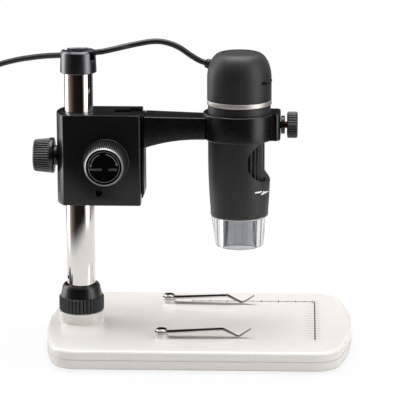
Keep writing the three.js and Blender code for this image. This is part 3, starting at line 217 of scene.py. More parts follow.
def prism(outline, low, high):
    """A straight form between two heights over an outline (x, y)."""
    return loft([[(x, y, z) for x, y in outline] for z in (low, high)])


def soften(form, width, steps=3, angle=30, only=None):
    """Rounds the sharp edges of a form, or those of them that a test picks."""
    bmesh.ops.recalc_face_normals(form, faces=form.faces)
    sharp = []
    for edge in form.edges:
        if len(edge.link_faces) == 2 and edge.calc_face_angle(0) > math.radians(angle):
            if only is None or only(edge):
                sharp.append(edge)
    bmesh.ops.bevel(
        form, geom=sharp, offset=width, segments=steps, affect="EDGES", profile=0.5,
        clamp_overlap=True,
    )
    return form


def as_mesh(name, form):
    """A form's mesh. It frees the form."""
    mesh = bpy.data.meshes.new(name)
    form.to_mesh(mesh)
    form.free()
    return mesh


def as_object(name, data):
    """A new object in the scene, of a mesh, a curve, a lamp or a camera."""
    made = bpy.data.objects.new(name, data)
    bpy.context.scene.collection.objects.link(made)
    return made


def joined(*forms):
    """One form of several that touch or stand in each other."""
    whole = bmesh.new()
    for form in forms:
        mesh = as_mesh("spare", form)
        whole.from_mesh(mesh)
        bpy.data.meshes.remove(mesh)
    return whole


def moved(form, x=0, y=0, z=0):
    """Moves a form by millimetres."""
    bmesh.ops.translate(form, verts=form.verts, vec=(x, y, z))
    return form


def spun(form, angle, axis="Z"):
    """Turns a form about an axis by degrees."""
    bmesh.ops.rotate(form, verts=form.verts, matrix=Matrix.Rotation(math.radians(angle), 3, axis))
    return form


def cut(form, *cutters):
    """A form less its cutters, in millimetres."""
    objects = []
    for each in (form, *cutters):
        bmesh.ops.recalc_face_normals(each, faces=each.faces)
        objects.append(as_object("spare", as_mesh("spare", each)))
    for cutter in objects[1:]:
        step = objects[0].modifiers.new("cut", "BOOLEAN")
        step.operation = "DIFFERENCE"
        step.solver = "EXACT"
        step.object = cutter
    bpy.context.view_layer.update()
    seen = objects[0].evaluated_get(bpy.context.evaluated_depsgraph_get())
    result = bmesh.new()
    result.from_mesh(seen.to_mesh())
    seen.to_mesh_clear()
    for each in objects:
        mesh = each.data
        bpy.data.objects.remove(each)
        bpy.data.meshes.remove(mesh)
    return result


def ribs(count, depth, sharpness):
    """How far a ribbed grip stands in at an angle: rounded ribs with narrow grooves between them."""
    def wave(angle):
        across = 0.5 - 0.5 * math.cos(count * angle)
        return depth * (1 - across ** sharpness)
    return wave


def piece(name, form, body, material, replaces=(), place=None, crease=32):
    """Finishes a form as a piece of the part: moves it to the frame, and lets it ride on its body. A piece
    with no body rides on none."""
    if place is not None:
        bmesh.ops.transform(form, verts=form.verts, matrix=place)
    bmesh.ops.remove_doubles(form, verts=form.verts, dist=0.0005)
    bmesh.ops.recalc_face_normals(form, faces=form.faces)
    to_frame = Matrix.Scale(MM, 4) @ Matrix.Translation((POLE_X, 0, 0))
    bmesh.ops.transform(form, verts=form.verts, matrix=to_frame)
    for face in form.faces:
        face.smooth = True
    for edge in form.edges:
        edge.smooth = len(edge.link_faces) == 2 and edge.calc_face_angle(0) < math.radians(crease)
    mesh = as_mesh(name, form)
    made = as_object(name, mesh)
    for each in material if isinstance(material, (list, tuple)) else [material]:
        mesh.materials.append(each)
    if body is not None:
        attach(made, body)
    if replaces:
        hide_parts(*replaces)
    return made


def in_frame(point):
    """A point's place in the frame, in metres."""
    return ((point.x + POLE_X) * MM, point.y * MM, point.z * MM)


scope_place = Matrix.Translation((scope_x, 0, 0)) @ Matrix.Rotation(math.radians(window_turn), 4, "Z")


# Surfaces
def colour(code, alpha=1.0):
    """An sRGB hex colour as the linear one that Blender works in."""
    values = []
    for at in (1, 3, 5):
        part = int(code[at:at + 2], 16) / 255
        values.append(part / 12.92 if part <= 0.04045 else ((part + 0.055) / 1.055) ** 2.4)
    return (*values, alpha)


def add(tree, kind, settings=None, inputs=None):
    """Adds a node with its settings and inputs. An input is a value, or the socket that feeds it."""
    made = tree.nodes.new(kind)
    for name, value in (settings or {}).items():
        setattr(made, name, value)
    for name, value in (inputs or {}).items():
        if isinstance(value, bpy.types.NodeSocket):
            tree.links.new(value, made.inputs[name])
        else:
            made.inputs[name].default_value = value
    return made


def surface(name, tones, roughness, grain, relief, constants):
    """A finish: two tones that drift over the surface, a roughness between two values, a grain of a
    size in millimetres that stands up by relief millimetres, and the shader's constant inputs."""
    drift_size = 30
    noise_low = 0.3
    noise_high = 0.7
    made = bpy.data.materials.new(name)
    made.use_nodes = True
    tree = made.node_tree
    tree.nodes.clear()
    place = add(tree, "ShaderNodeTexCoord").outputs["Object"]
    drift = add(tree, "ShaderNodeTexNoise", None, {
        "Vector": place, "Scale": 1 / (drift_size * MM), "Detail": 3.0, "Roughness": 0.55,
    })
    fine = add(tree, "ShaderNodeTexNoise", None, {
        "Vector": place, "Scale": 1 / (grain * MM), "Detail": 4.0, "Roughness": 0.6,
    })
    blend = add(tree, "ShaderNodeMixRGB", None, {
        "Fac": drift.outputs["Fac"], "Color1": colour(tones[0]), "Color2": colour(tones[1]),
    })
    rough = add(tree, "ShaderNodeMapRange", None, {
        "Value": fine.outputs["Fac"], "From Min": noise_low, "From Max": noise_high,
        "To Min": roughness[0], "To Max": roughness[1],
    })
    bump = add(tree, "ShaderNodeBump", None, {
        "Height": fine.outputs["Fac"], "Distance": relief * MM, "Strength": 1.0,
    })
    shader = add(tree, "ShaderNodeBsdfPrincipled", None, {
        "Base Color": blend.outputs["Color"],
        "Roughness": rough.outputs["Result"],
        "Normal": bump.outputs["Normal"],
        **constants,
    })
    add(tree, "ShaderNodeOutputMaterial", None, {"Surface": shader.outputs["BSDF"]})
    return made


# Glossy injection-moulded ABS: an off-white shell with a wet shine and a very slight moulding wave
gloss_abs = surface(
    "off_white_gloss_abs", ("#e9e4df", "#e3ded9"), (0.14, 0.2), 9, 0.01,
    {"IOR": 1.53, "Coat Weight": 0.1, "Coat Roughness": 0.06},
)
# ABS sprayed with soft-touch paint: a dry dark grey with broad dull highlights
soft_touch = surface(
    "soft_touch_paint_on_abs", ("#1d1e1f", "#1a1b1c"), (0.42, 0.52), 0.35, 0.006,
    {"IOR": 1.48, "Sheen Weight": 0.06, "Sheen Roughness": 0.4},
)
# Extruded and machined aluminium with a black anodised skin: nearly black, satin, fine-grained
black_anodised = surface(
    "satin_black_anodised_aluminium", ("#161617", "#131313"), (0.2, 0.27), 0.25, 0.003, {"IOR": 1.38},
)
# Turned aluminium with the same skin, for the cap: broad upright gleams
turned_black = surface(
    "turned_black_anodised_aluminium", ("#6c6c70", "#636367"), (0.26, 0.32), 0.3, 0.001, {"Metallic": 1.0},
)
# A painted highlight: a bright metal tone on the knobs' end bevels and on the clamp knob's rounded end, where
# they catch the light
bevel_highlight_paint = surface(
    "painted_highlight_on_knob_bevels", ("#94928f", "#8a8885"), (0.28, 0.36), 0.5, 0.001, {"Metallic": 1.0},
)
# A painted highlight: a lighter metal tone on the knobs' rib crests, where the ribs catch the light
crest_highlight_paint = surface(
    "painted_highlight_on_rib_crests", ("#757476", "#6a696b"), (0.3, 0.4), 0.5, 0.001, {"Metallic": 1.0},
)
# Die-cast zinc under glossy black enamel: deep black with blue-grey reflections
black_enamel = surface(
    "semi_gloss_black_enamel_on_zinc", ("#08090a", "#060707"), (0.24, 0.32), 6, 0.008, {"IOR": 1.44},
)
# Moulded black ABS for the knobs: a tight satin grain in the grip
knob_abs = surface(
    "satin_black_moulded_abs", ("#0f0f10", "#0c0c0d"), (0.22, 0.3), 0.3, 0.004, {"IOR": 1.53},
)
# Polished black ABS for the discs in the knobs' ends
disc_abs = surface(
    "gloss_black_moulded_abs", ("#060608", "#050506"), (0.08, 0.12), 5, 0.004, {"IOR": 1.53},
)
# Steel tube with bright chrome plate: a near mirror with the faintest drawing lines
chrome = surface(
    "polished_chrome_plate", ("#dedad6", "#d6d2ce"), (0.04, 0.08), 2.5, 0.001, {"Metallic": 1.0},
)
# Spring steel strip with chrome plate, for the clips and their studs
clip_steel = surface(
    "chromed_spring_steel", ("#d2cfcc", "#c6c3c0"), (0.06, 0.12), 1.2, 0.002, {"Metallic": 1.0},
)
# Zinc-plated steel for the screws and shafts
zinc_steel = surface(
    "zinc_plated_steel", ("#9fa1a5", "#8f9196"), (0.26, 0.4), 0.5, 0.004, {"Metallic": 1.0},
)
# Steel with a black oxide skin, for the set screw and the clamp's screw: dark all the way round
black_oxide = surface(
    "black_oxide_steel", ("#0b0b0c", "#080809"), (0.45, 0.6), 0.4, 0.003, {"IOR": 1.5},
)
# Turned aluminium with a clear satin anodised skin, for the band round the microscope
satin_band = surface(
    "satin_turned_aluminium", ("#d6d1cd", "#ccc7c3"), (0.42, 0.52), 0.4, 0.003, {"Metallic": 1.0},
)
# Turned brass for the screw, the gear and the rack
brass = surface(
    "turned_brass", ("#d08c3c", "#bd7a2c"), (0.2, 0.32), 0.6, 0.004, {"Metallic": 1.0},
)
# Black thermoplastic rubber for the roller, the wheel and the strain relief
rubber = surface(
    "black_thermoplastic_rubber", ("#0b0c0e", "#090a0b"), (0.34, 0.46), 0.4, 0.004, {"IOR": 1.5},
)
# Moulded rubber feet: matte and slightly dusty
foot_rubber = surface(
    "matte_rubber_feet", ("#262626", "#1e1e1e"), (0.75, 0.9), 0.6, 0.02, {"IOR": 1.5},
)
# Extruded PVC jacket: black with a narrow shine along its length
lead_pvc = surface(
    "extruded_black_pvc", ("#0c0c0e", "#09090a"), (0.28, 0.4), 0.5, 0.008, {"IOR": 1.53},
)
# Fibreglass board under green solder mask
green_board = surface(
    "green_masked_fibreglass", ("#1f5a3a", "#1a4e32"), (0.3, 0.45), 0.4, 0.01, {"IOR": 1.55},
)
# Moulded white nylon for the pads, the spindle and the light board
white_nylon = surface(
    "white_moulded_nylon", ("#f0eee8", "#e6e4de"), (0.35, 0.5), 0.5, 0.006, {"IOR": 1.53},
)
# Printed inks, flat and dry: dark grey for the ruler, white for the barrel, pale grey for the knob's disc
ruler_ink = surface(
    "grey_screen_ink", ("#34312f", "#3d3937"), (0.45, 0.6), 0.4, 0.001, {"IOR": 1.5},
)
white_ink = surface(
    "white_pad_printed_ink", ("#f4f2ee", "#eceae6"), (0.4, 0.55), 0.3, 0.001, {"IOR": 1.5},
)
grey_ink = surface(
    "pale_grey_pad_printed_ink", ("#7c7d80", "#737477"), (0.4, 0.55), 0.3, 0.001, {"IOR": 1.5},
)
# Polished clear acrylic: almost colourless, with bright edges
clear_acrylic = surface(
    "clear_moulded_acrylic", ("#e9eaec", "#e4e6e8"), (0.01, 0.03), 8, 0.004,
    {"IOR": 1.49, "Transmission Weight": 1.0},
)
# The same acrylic with a grey tint on the bore's wall: painted shade for the dimmer view through the bore
bore_shade_acrylic = surface(
    "acrylic_with_painted_shade_on_bore", ("#94959a", "#8e8f94"), (0.02, 0.05), 8, 0.004,
    {"IOR": 1.49, "Transmission Weight": 1.0},
)
# The same acrylic with a ground edge: a cream line that lets little through
ground_acrylic = surface(
    "ground_acrylic_edge", ("#f1ece4", "#e9e4dc"), (0.5, 0.6), 0.4, 0.01,
    {"IOR": 1.49, "Transmission Weight": 0.3},
)
# Ground and polished lens glass
lens_glass = surface(
    "polished_lens_glass", ("#e6e8f4", "#e2e6f2"), (0.0, 0.01), 10, 0.0,
    {"IOR": 1.52, "Transmission Weight": 1.0},
)


# Camera
def place_camera():
    """The photograph's view from its distance. The camera's place is measured from the frame's origin."""
    focal_pixels = 2463.63
    frame_pixels = 400
    middle_x = 222.6
    middle_y = 137.449
    yaw = -0.04077
    pitch = 0.21038
    roll = -0.00217
    stand_point = Vector((71.9, -1343.7, 405.84)) * MM
    forward = Vector((math.sin(yaw) * math.cos(pitch), math.cos(yaw) * math.cos(pitch), -math.sin(pitch)))
    right = Vector((math.cos(yaw), -math.sin(yaw), 0))
    up = right.cross(forward)
    tilted_right = right * math.cos(roll) + up * math.sin(roll)
    tilted_up = up * math.cos(roll) - right * math.sin(roll)
    data = bpy.data.cameras.new("camera")
    data.sensor_width = 36
    data.lens = focal_pixels / frame_pixels * data.sensor_width
    data.shift_x = (frame_pixels / 2 - middle_x) / frame_pixels
    data.shift_y = (middle_y - frame_pixels / 2) / frame_pixels
    data.clip_start = 0.05
    camera = as_object("camera", data)
    facing = Matrix((tilted_right, tilted_up, -forward)).transposed().to_4x4()
    camera.matrix_world = Matrix.Translation(stand_point) @ facing
    bpy.context.scene.camera = camera


place_camera()

# Lead: its route, as the part's source has it
arch_points = [
    (70.4, 3.8, 160.4), (67.6, 3.3, 161.5), (62.1, 2.4, 165.0), (56.6, 1.5, 169.0), (51.1, 0.5, 171.6),
    (45.7, -0.4, 172.9), (40.2, -1.3, 172.9), (34.7, -2.2, 172.1), (29.2, -3.1, 171.1),
    (24.4, -5.2, 170.3), (20.0, -6.8, 169.5), (16.6, -7.8, 168.9), (13.6, -7.8, 168.3), (10.63, -6.39, 167.7),
]
slot_points = [(7.9, -4.75, 167.3), (4.4, -2.6, 166.2), (0, 0, 165.3), (-5.2, 3.1, 164.4)]
drop_points = [
    (-9.5, 5.7, 163.8), (-16.6, 9.6, 162.8), (-22.6, 12.7, 161.8), (-28.7, 15.6, 160.5),
    (-34.8, 18.5, 159.1), (-40.9, 21.3, 157.3), (-47.1, 24.0, 155.1), (-56.0, 27.4, 150.4),
    (-63.6, 29.9, 143.2), (-69.2, 31.4, 134.0), (-73.2, 32.2, 122.6), (-76.2, 32.6, 109.0),
    (-78.6, 32.8, 94.0), (-80.8, 32.9, 78.0), (-83.0, 32.9, 62.0), (-85.6, 32.9, 47.0),
    (-88.8, 32.9, 31.5), (-91.2, 32.9, 24.4), (-93.8, 32.9, 19.4), (-96.7, 32.9, 15.6), (-98.2, 32.8, 13.9),
    (-99.9, 32.7, 12.9),
]
coil_x = -108
coil_y = 10
coil_mid_radius = 18
coil_turns_across = 2.573
coil_layers = 4
coil_pitch = 3.8
coil_steps = 24
coil_climb = 0.25
tail_length = 15
plug_height = 7.6


def curve_through(points, steps):
    """Points evenly along a centripetal curve through points."""
    given = [Vector(point) for point in points]
    given = [2 * given[0] - given[1], *given, 2 * given[-1] - given[-2]]
    line = []
    for p0, p1, p2, p3 in zip(given, given[1:], given[2:], given[3:]):
        d0, d1, d2 = (math.sqrt((b - a).length) for a, b in ((p0, p1), (p1, p2), (p2, p3)))
        leave = ((p1 - p0) / d0 - (p2 - p0) / (d0 + d1) + (p2 - p1) / d1) * d1
        reach = ((p2 - p1) / d1 - (p3 - p1) / (d1 + d2) + (p3 - p2) / d2) * d1
        pieces = 12
        for k in range(pieces):
            t = k / pieces
            bend = 2 * p1 - 2 * p2 + leave + reach
            sag = 3 * p2 - 3 * p1 - 2 * leave - reach
            line.append(p1 + leave * t + sag * t ** 2 + bend * t ** 3)
    line.append(given[-2])
    spans = [(b - a).length for a, b in zip(line, line[1:])]
    total = sum(spans)
    even = []
    i = 0
    passed = 0
    for k in range(steps + 1):
        wanted = total * k / steps
        while i < len(spans) - 1 and passed + spans[i] < wanted:
            passed += spans[i]
            i += 1
        even.append(line[i].lerp(line[i + 1], min(1, (wanted - passed) / spans[i])))
    return even


def coil_line():
    """The coil's centre line, wound in and out through its layers from the top one down. It climbs to
    the next layer over a share of a turn on each side of the change."""
    across = coil_turns_across * coil_pitch
    count = round(coil_turns_across * coil_layers * coil_steps)
    start = math.pi / 2 - math.pi / coil_steps
    line = []
    for i in range(count + 1):
        wound = i / coil_steps
        layer = min(coil_layers - 1, int(wound / coil_turns_across))
        within = wound / coil_turns_across - layer
        inward = within if layer % 2 == 0 else 1 - within
        radius = coil_mid_radius + across / 2 - across * inward
        climb = (within * coil_turns_across - (coil_turns_across - coil_climb)) / (2 * coil_climb)
        entry = (within * coil_turns_across + coil_climb) / (2 * coil_climb)
        leaving = max(0, climb) if layer < coil_layers - 1 else 0
        arriving = max(0, 1 - entry) if layer > 0 else 0
        level = coil_layers - 1 - layer - leaving + arriving
        angle = start + 2 * math.pi * wound
        line.append(Vector((
            coil_x + radius * math.cos(angle), coil_y + radius * math.sin(angle),
            lead_radius + coil_pitch * level,
        )))
    return line


def lay_lead():
    """The lead from the cap's slot to the plug: its drop to the table, its coil and its tail."""
    coil = coil_line()
    outward = coil[0] - coil[1]
    outward.z = 0
    onward = coil[-1] - coil[-2]
    onward.z = 0
    outward.normalize()
    onward.normalize()
    arch_end = Vector(arch_points[-1])
    heading = (arch_end - Vector(arch_points[-2])).normalized()
    first = arch_end + heading * lead_gap
    last = coil[0] + outward * (2 * lead_radius)
    drop = curve_through([first, *slot_points, *drop_points, last], 150)
    fine_coil = curve_through(coil, 3 * (len(coil) - 1))
    tail = []
    tail_steps = 12
    for k in range(1, tail_steps + 1):
        t = k / tail_steps
        lift = t * t * (3 - 2 * t)
        point = coil[-1] + onward * (2 * lead_radius + lead_gap + tail_length * t)
        point.z = lead_radius + (plug_height / 2 - lead_radius) * lift
        tail.append(point)
    route = [*drop, *fine_coil, *tail]
    data = bpy.data.curves.new("usb_lead", "CURVE")
    data.dimensions = "3D"
    data.bevel_depth = lead_radius * MM
    data.bevel_resolution = 4
    data.use_fill_caps = True
    spline = data.splines.new("POLY")
    spline.points.add(len(route) - 1)
    spline.use_smooth = True
    for at, point in zip(spline.points, route):
        at.co = (*in_frame(point), 1)
    lead = as_object("usb_lead", data)
    data.materials.append(lead_pvc)
    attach(lead, "stand")
    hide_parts("lead_drop", "lead_coil", "lead_tail")


def tube(line, radius, sides=20):
    """A round tube along a line of points, open at its ends."""
    rings = []
    side = None
    for i, point in enumerate(line):
        forward = (line[min(i + 1, len(line) - 1)] - line[max(i - 1, 0)]).normalized()
        if side is None:
            side = Vector((0, 0, 1)).cross(forward).normalized()
        side = (side - forward * side.dot(forward)).normalized()
        over = forward.cross(side)
        ring = []
        for k in range(sides):
            angle = 2 * math.pi * k / sides
            ring.append(point + side * radius * math.cos(angle) + over * radius * math.sin(angle))
        rings.append(ring)
    return loft(rings, caps=False)


def hang_arch():
    """The lead between the cap and the microscope is cut into five stretches, each across one joint. The
    joints with the longest travel get the longest stretches."""
    bodies = ["stand", "carriage", "block", "arm", "scope_band", "scope"]
    splits = [0, 34, 74, 90, 104, 120]
    line = list(reversed(curve_through(arch_points, splits[-1])))
    for near, far, first, last in zip(bodies, bodies[1:], splits, splits[1:]):
        form = tube(line[first:last + 1], lead_radius)
        stretch = piece(
            f"lead_arch_{near}_to_{far}", form, None, lead_pvc, replaces=["lead_arch"],
        )
        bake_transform(stretch)


lay_lead()
hang_arch()


# Base: a glossy cover and tray with a seam between them
def base_outline(inset):
    """The base seen from above, drawn in by an inset: bulging ends, straight sides, round corners."""
    end_x = base_length / 2 - base_end_radius
    y = base_depth / 2 - base_corner
    x = end_x + math.sqrt((base_end_radius - base_corner) ** 2 - y ** 2)
    spread = math.degrees(math.atan2(y, x - end_x))
    half = [
        *arc(x, -y, base_corner - inset, -90, -spread, 16),
        *arc(end_x, 0, base_end_radius - inset, -spread, spread, 24)[1:-1],
        *arc(x, y, base_corner - inset, spread, 90, 16),
    ]
    return [(u + base_middle, v) for u, v in half] + [(base_middle - u, -v) for u, v in half]


def slab_rings(insets):
    """The base's outline at each (inset, height)."""
    return [[(x, y, z) for x, y in base_outline(inset)] for inset, z in insets]


def quarter_edge(radius, steps):
    """How far an edge draws in, and how far it falls, round a quarter turn from its side to its face."""
    turns = [math.radians(90 * k / steps) for k in range(steps + 1)]
    return [(radius * (1 - math.cos(a)), radius * (1 - math.sin(a))) for a in turns]


def make_shell():
    """The cover, with the pole's socket and the bosses under the clips."""
    over = [(inset, base_top - fall) for inset, fall in quarter_edge(base_edge, 10)]
    shell = loft(slab_rings([
        (wall, base_top - wall), (wall, seam_high + 0.3), (wall - 0.3, seam_high), (0.2, seam_high),
        (0, seam_high + 0.2), *over,
    ]))
    socket = lathe([
        (8.3, 12), (13.0, base_top - 0.1), (12.7, base_top + 0.1, 0.3), (12.6, base_top + 0.6),
        (12.6, 18.5, 0.5), (10.4, 18.5, 0.3), (10.4, 30.2), (8.3, 30.2),
    ])
    bosses = []
    for y in (clip_rear_y, clip_front_y):
        boss = lathe([
            (0, base_top - 0.5), (4.2, base_top - 0.5), (4.2, base_top + 0.3), (3.7, base_top + 0.8, 0.5),
            (3.6, base_top + 2.6, 0.35), (0, base_top + 2.6),
        ], 64)
        bosses.append(moved(boss, clip_x, y))
    piece("base_shell", joined(shell, socket, *bosses), "stand", gloss_abs, ["base_cover"])


def make_tray():
    """The lower shell under the seam, with recesses for the feet and the screws."""
    low = tray_low
    under = [(inset, low + fall) for inset, fall in quarter_edge(1.2, 6)]
    tray = loft(slab_rings([
        (wall, low + wall), (wall, seam_low - 0.3), (wall - 0.3, seam_high - 0.1), (0.35, seam_high - 0.1),
        (0.35, seam_low), (0.15, seam_low), (0, seam_low - 0.15), *under,
    ]))
    recesses = [moved(rod(6.3, low - 1, low + 0.8, 64), x, y) for x, y in foot_places]
    recesses += [moved(rod(3.1, low - 1, low + 1.2), x, y) for x, y in screw_places]
    piece("base_underside", cut(tray, *recesses), "stand", gloss_abs, ["base_tray"])


def make_feet_and_screws():
    """Four feet with a slight hollow, and four screws with a crossed recess."""
    low = tray_low
    for i, (x, y) in enumerate(foot_places):
        foot = lathe([(0, 0.15), (3.6, 0.15, 0.3), (4.1, 0, 0.3), (6, 0, 0.5), (6, 2), (0, 2)], 64)
        piece(f"foot_{i + 1}", moved(foot, x, y), "stand", foot_rubber, [f"rubber_foot_{i + 1}"])
    for i, (x, y) in enumerate(screw_places):
        head = lathe([
            (0, low), (1.9, low, 0.4), (2.8, low + 0.4, 0.3), (2.8, low + 0.9), (1.3, low + 0.9),
            (1.3, 8.5), (0, 9.1),
        ], 40)
        cross = [
            prism(rounded_rectangle(*size, 0.2, 2), low - 1, low + 0.6)
            for size in ((3, 0.7), (0.7, 3))
        ]
        screw = moved(cut(head, *cross), x, y)
        piece(f"case_screw_{i + 1}", screw, "stand", zinc_steel, [f"base_screw_{i + 1}"])


def print_ruler():
    """Millimetre scale on the stage: one line along it, one across, with longer ticks each 5 and 10."""
    height = base_top + 0.02
    line_x = 132
    line_y = 41.9
    line_left = 60.9
    line_front = -36.3
    along_half = 0.17
    across_half = 0.34
    left_half = 0.16
    right_half = 0.2
    right_reach = 2.9
    print_turn = 0.4
    form = bmesh.new()

    def mark(x0, y0, x1, y1):
        corners = [(x0, y0), (x1, y0), (x1, y1), (x0, y1)]
        form.faces.new([form.verts.new((x, y, height)) for x, y in corners])

    mark(line_left, line_y - along_half, line_x + 0.3, line_y + along_half)
    mark(line_x - across_half, line_front, line_x + across_half, line_y)
    for k in range(1, 72):
        if k % 10 == 1:
            reach, half = 2.6, 0.28
        elif k % 5 == 1:
            reach, half = 1.8, 0.24
        else:
            reach, half = 1.0, 0.2
        x = line_x - k
        mark(x - half, line_y - reach, x + half, line_y + 0.8 * reach)
    for k in range(0, 79, 5):
        y = line_y - k
        left = 5.4 if k % 10 == 0 else 3.7
        mark(line_x - left, y - left_half, line_x, y + left_half)
        mark(line_x, y - right_half, line_x + right_reach, y + right_half)
    turn = Matrix.Rotation(math.radians(print_turn), 4, "Z")
    about = Matrix.Translation((line_x, line_y, 0))
    bmesh.ops.transform(form, verts=form.verts, matrix=about @ turn @ about.inverted())
    piece("stage_ruler_print", form, "stand", ruler_ink)


make_shell()
make_tray()
make_feet_and_screws()
print_ruler()


# Pole, its cap and its lock collar
def make_pole():
    """A chromed tube with a small cross hole near its foot."""
    inside = 6.5
    low = 7.3
    high = 158.6
    hole_z = 38.4
    hole_turn = -61
    tube_form = lathe([
        (inside, low), (pole_radius, low), (pole_radius, high, 0.6), (inside, high),
    ], 128, hollow=True)
    pin = spun(rod(1.1, 0, 12, 32), 90, "X")
    pin = spun(moved(pin, 0, 0, hole_z), hole_turn)
    piece("chrome_pole", cut(tube_form, pin), "stand", chrome, ["pole_tube"])


def make_cap():
    """The pole's cap, with a shallow dish on top and the slot that the lead rests in."""
    body = lathe([
        (0, 151.9), (6.2, 151.9), (6.2, 158.9), (8.3, 158.9), (8.3, cap_base), (9.9, cap_base, 0.3),
        (10.2, cap_base + 0.4, 0.3), (9.75, cap_top - 1.1, 0.7), (8.9, cap_top, 0.5), (8.2, cap_top, 0.3),
        (7.9, cap_top - 0.35, 0.2), (0, cap_top - 0.35),
    ], 128)
    half = 2.1
    deep = cap_top - 6.1
    outline = rounded([
        (-half, deep, half - 0.01), (half, deep, half - 0.01), (half, cap_top - 0.5), (2.6, cap_top + 1),
        (-2.6, cap_top + 1), (-half, cap_top - 0.5),
    ], closed=True, steps=10)
    slot = spun(loft([[(x, y, z) for y, z in outline] for x in (-14, 14)]), slot_turn)
    piece("pole_cap_form", cut(body, slot), "stand", turned_black, ["pole_cap"])


def make_collar():
    """The lock collar: a ribbed drum under a plain cone."""
    low = 18.8
    collar = lathe([
        (10.7, low), (12.2, low, 0.3), (12.7, low + 0.5, 0.2), (12.7, low + 7.7, 0.3), (12.2, low + 8.2, 0.2),
        (11.8, low + 8.3), (10.6, 32.6, 0.8), (9.8, 33.9, 0.4), (9.2, 34.0, 0.2), (8.4, 32.6), (8.3, 31),
        (10.7, 30.5),
    ], 540, hollow=True)
    shape_ribs(collar, low + 0.2, low + 8.25, 36, 0.7)
    piece("knurled_lock_collar", collar, "collar", knob_abs, ["lock_collar"], crease=40)


def shape_ribs(form, low, high, count, depth):
    """Presses grooves into the outside of the collar between two heights."""
    inside = 12.0
    wave = ribs(count, depth, 0.5)
    for vertex in form.verts:
        x, y, z = vertex.co
        if low <= z <= high and math.hypot(x, y) > inside:
            inward = wave(math.atan2(y, x)) / math.hypot(x, y)
            vertex.co = (x * (1 - inward), y * (1 - inward), z)


make_pole()
make_cap()
make_collar()


# Stage clips: chromed spring strips on studs
def make_clip(name, y, angle, body, stud_name):
    """A strip that tapers from its eye, rises to a bend, dips to the stage and turns up at its tip."""
    thick = 0.6
    half = thick / 2
    low = base_top + running_gap + half
    eye_z = base_top + 2.9
    bend_x = 34
    bend_rise = 1.7
    dip_x = 42.6
    tip_x = 49.5
    tip_rise = 4.6
    root_half = 3.2
    bend_half = 2.4
    tip_half = 1.0
    line = rounded([
        (-1.5, eye_z + half), (5, eye_z + half, 20), (bend_x, eye_z + half + bend_rise, 3), (dip_x, low, 1.0),
        (tip_x, low + tip_rise),
    ], steps=8)
    rings = []
    for i, (x, z) in enumerate(line):
        before = Vector(line[max(0, i - 1)])
        after = Vector(line[min(len(line) - 1, i + 1)])
        along = (after - before).normalized()
        up = Vector((-along.y, along.x))
        if x < bend_x:
            width = root_half - (root_half - bend_half) * max(0, x) / bend_x
        else:
            width = bend_half - (bend_half - tip_half) * (x - bend_x) / (tip_x - bend_x)
        section = rounded_rectangle(2 * width, thick, 0.16, 3)
        rings.append([(x + up.x * v, u, z + up.y * v) for u, v in section])
    strip = loft(rings)
    eye = lathe([
        (1.9, eye_z), (3.9, eye_z, 0.16), (3.9, eye_z + thick, 0.16), (1.9, eye_z + thick),
    ], 64, hollow=True)
    clip = moved(spun(joined(strip, eye), angle), clip_x, y)
    piece(name, clip, body, clip_steel, [f"stage_{body}"])
    seat = eye_z + thick + running_gap
    stud = lathe([
        (0, seat - 6.5), (1.6, seat - 6.5), (1.6, seat, 0.1), (3.25, seat, 0.2), (3.25, seat + 0.75, 0.3),
        (2.75, seat + 1.25, 0.25), (0, seat + 1.3),
    ], 64)
    piece(stud_name, moved(stud, clip_x, y), "stand", clip_steel, [stud_name.replace("_head", "")])


make_clip("spring_clip_rear", clip_rear_y, clip_rear_turn, "clip_rear", "clip_stud_rear_head")
make_clip("spring_clip_front", clip_front_y, clip_front_turn, "clip_front", "clip_stud_front_head")


# Focus block with its bores and the slide's way
def make_block():
    """The housing: round at its left end, bored for the pole, the shaft, the clamp and the set screw."""
    bulge = 4.8
    radius = (block_half ** 2 + bulge ** 2) / (2 * bulge)
    spread = math.degrees(math.asin(block_half / radius))
    end = arc(block_end + radius, 0, radius, 180 - spread, 180 + spread, 32)
    corner = 1.2
    outline = [
        *arc(block_right - corner, -block_half + corner, corner, -90, 0, 6),
        *arc(block_right - corner, block_half - corner, corner, 0, 90, 6),
        *end,
    ]
    body = soften(prism(outline, block_low, block_high), 0.55, 3, 25)
    under = block_low - 1
    over = block_high + 1
    bore = rod(9.5, under, over, 96)
    seats = [rod(10.4, z - 1.2, z + 1.2, 96) for z in (block_low, block_high)]
    foot = 8.6
    neck = 5.8
    way = prism([
        (28.6, -foot), (block_right, -neck), (block_right + 2, -neck), (block_right + 2, neck),
        (block_right, neck), (28.6, foot),
    ], under, over)
    rack_way = prism([(20.0, -3.8), (29.5, -3.8), (29.5, 3.8), (20.0, 3.8)], under, over)
    shaft = moved(spun(rod(2.8, -20, 20), 90, "X"), gear_x, 0, gear_z)
    clamp = moved(spun(rod(3.3, -6, 6), 90, "Y"), block_end + 1, 0, gear_z)
    set_hole = lathe([(0, -6), (1.8, -6), (1.8, -0.2), (2.3, 0.3), (0, 0.3)], 48)
    set_hole = moved(spun(set_hole, 90, "X"), set_hole_x, -block_half, block_low + set_hole_z)
    form = cut(body, bore, *seats, way, rack_way, shaft, clamp, set_hole)
    piece("focus_block_form", form, "block", black_anodised, ["focus_block"], crease=28)


def make_set_screw():
    sink = 2.6
    grub = lathe([(0, 0.9), (0.7, 0.9), (0.7, 0, 0.1), (1.2, 0, 0.2), (1.45, 0.3), (1.45, 4), (0, 4.4)], 48)
    grub = moved(spun(grub, -90, "X"), set_hole_x, -block_half + sink, block_low + set_hole_z)
    piece("set_screw_form", grub, "block", black_oxide, ["set_screw"])


def make_pole_bush():
    """A plastic liner with a flange at each end, on which the block turns."""
    flange = 0.9
    liner = lathe([
        (8.3, block_low), (10.1, block_low, 0.15), (10.1, block_low + flange), (9.2, block_low + flange),
        (9.2, block_high - flange), (10.1, block_high - flange), (10.1, block_high, 0.15),
        (8.3, block_high, 0.1),
    ], 96, hollow=True)
    piece("pole_bush_form", liner, "carriage", knob_abs, ["pole_bush"])


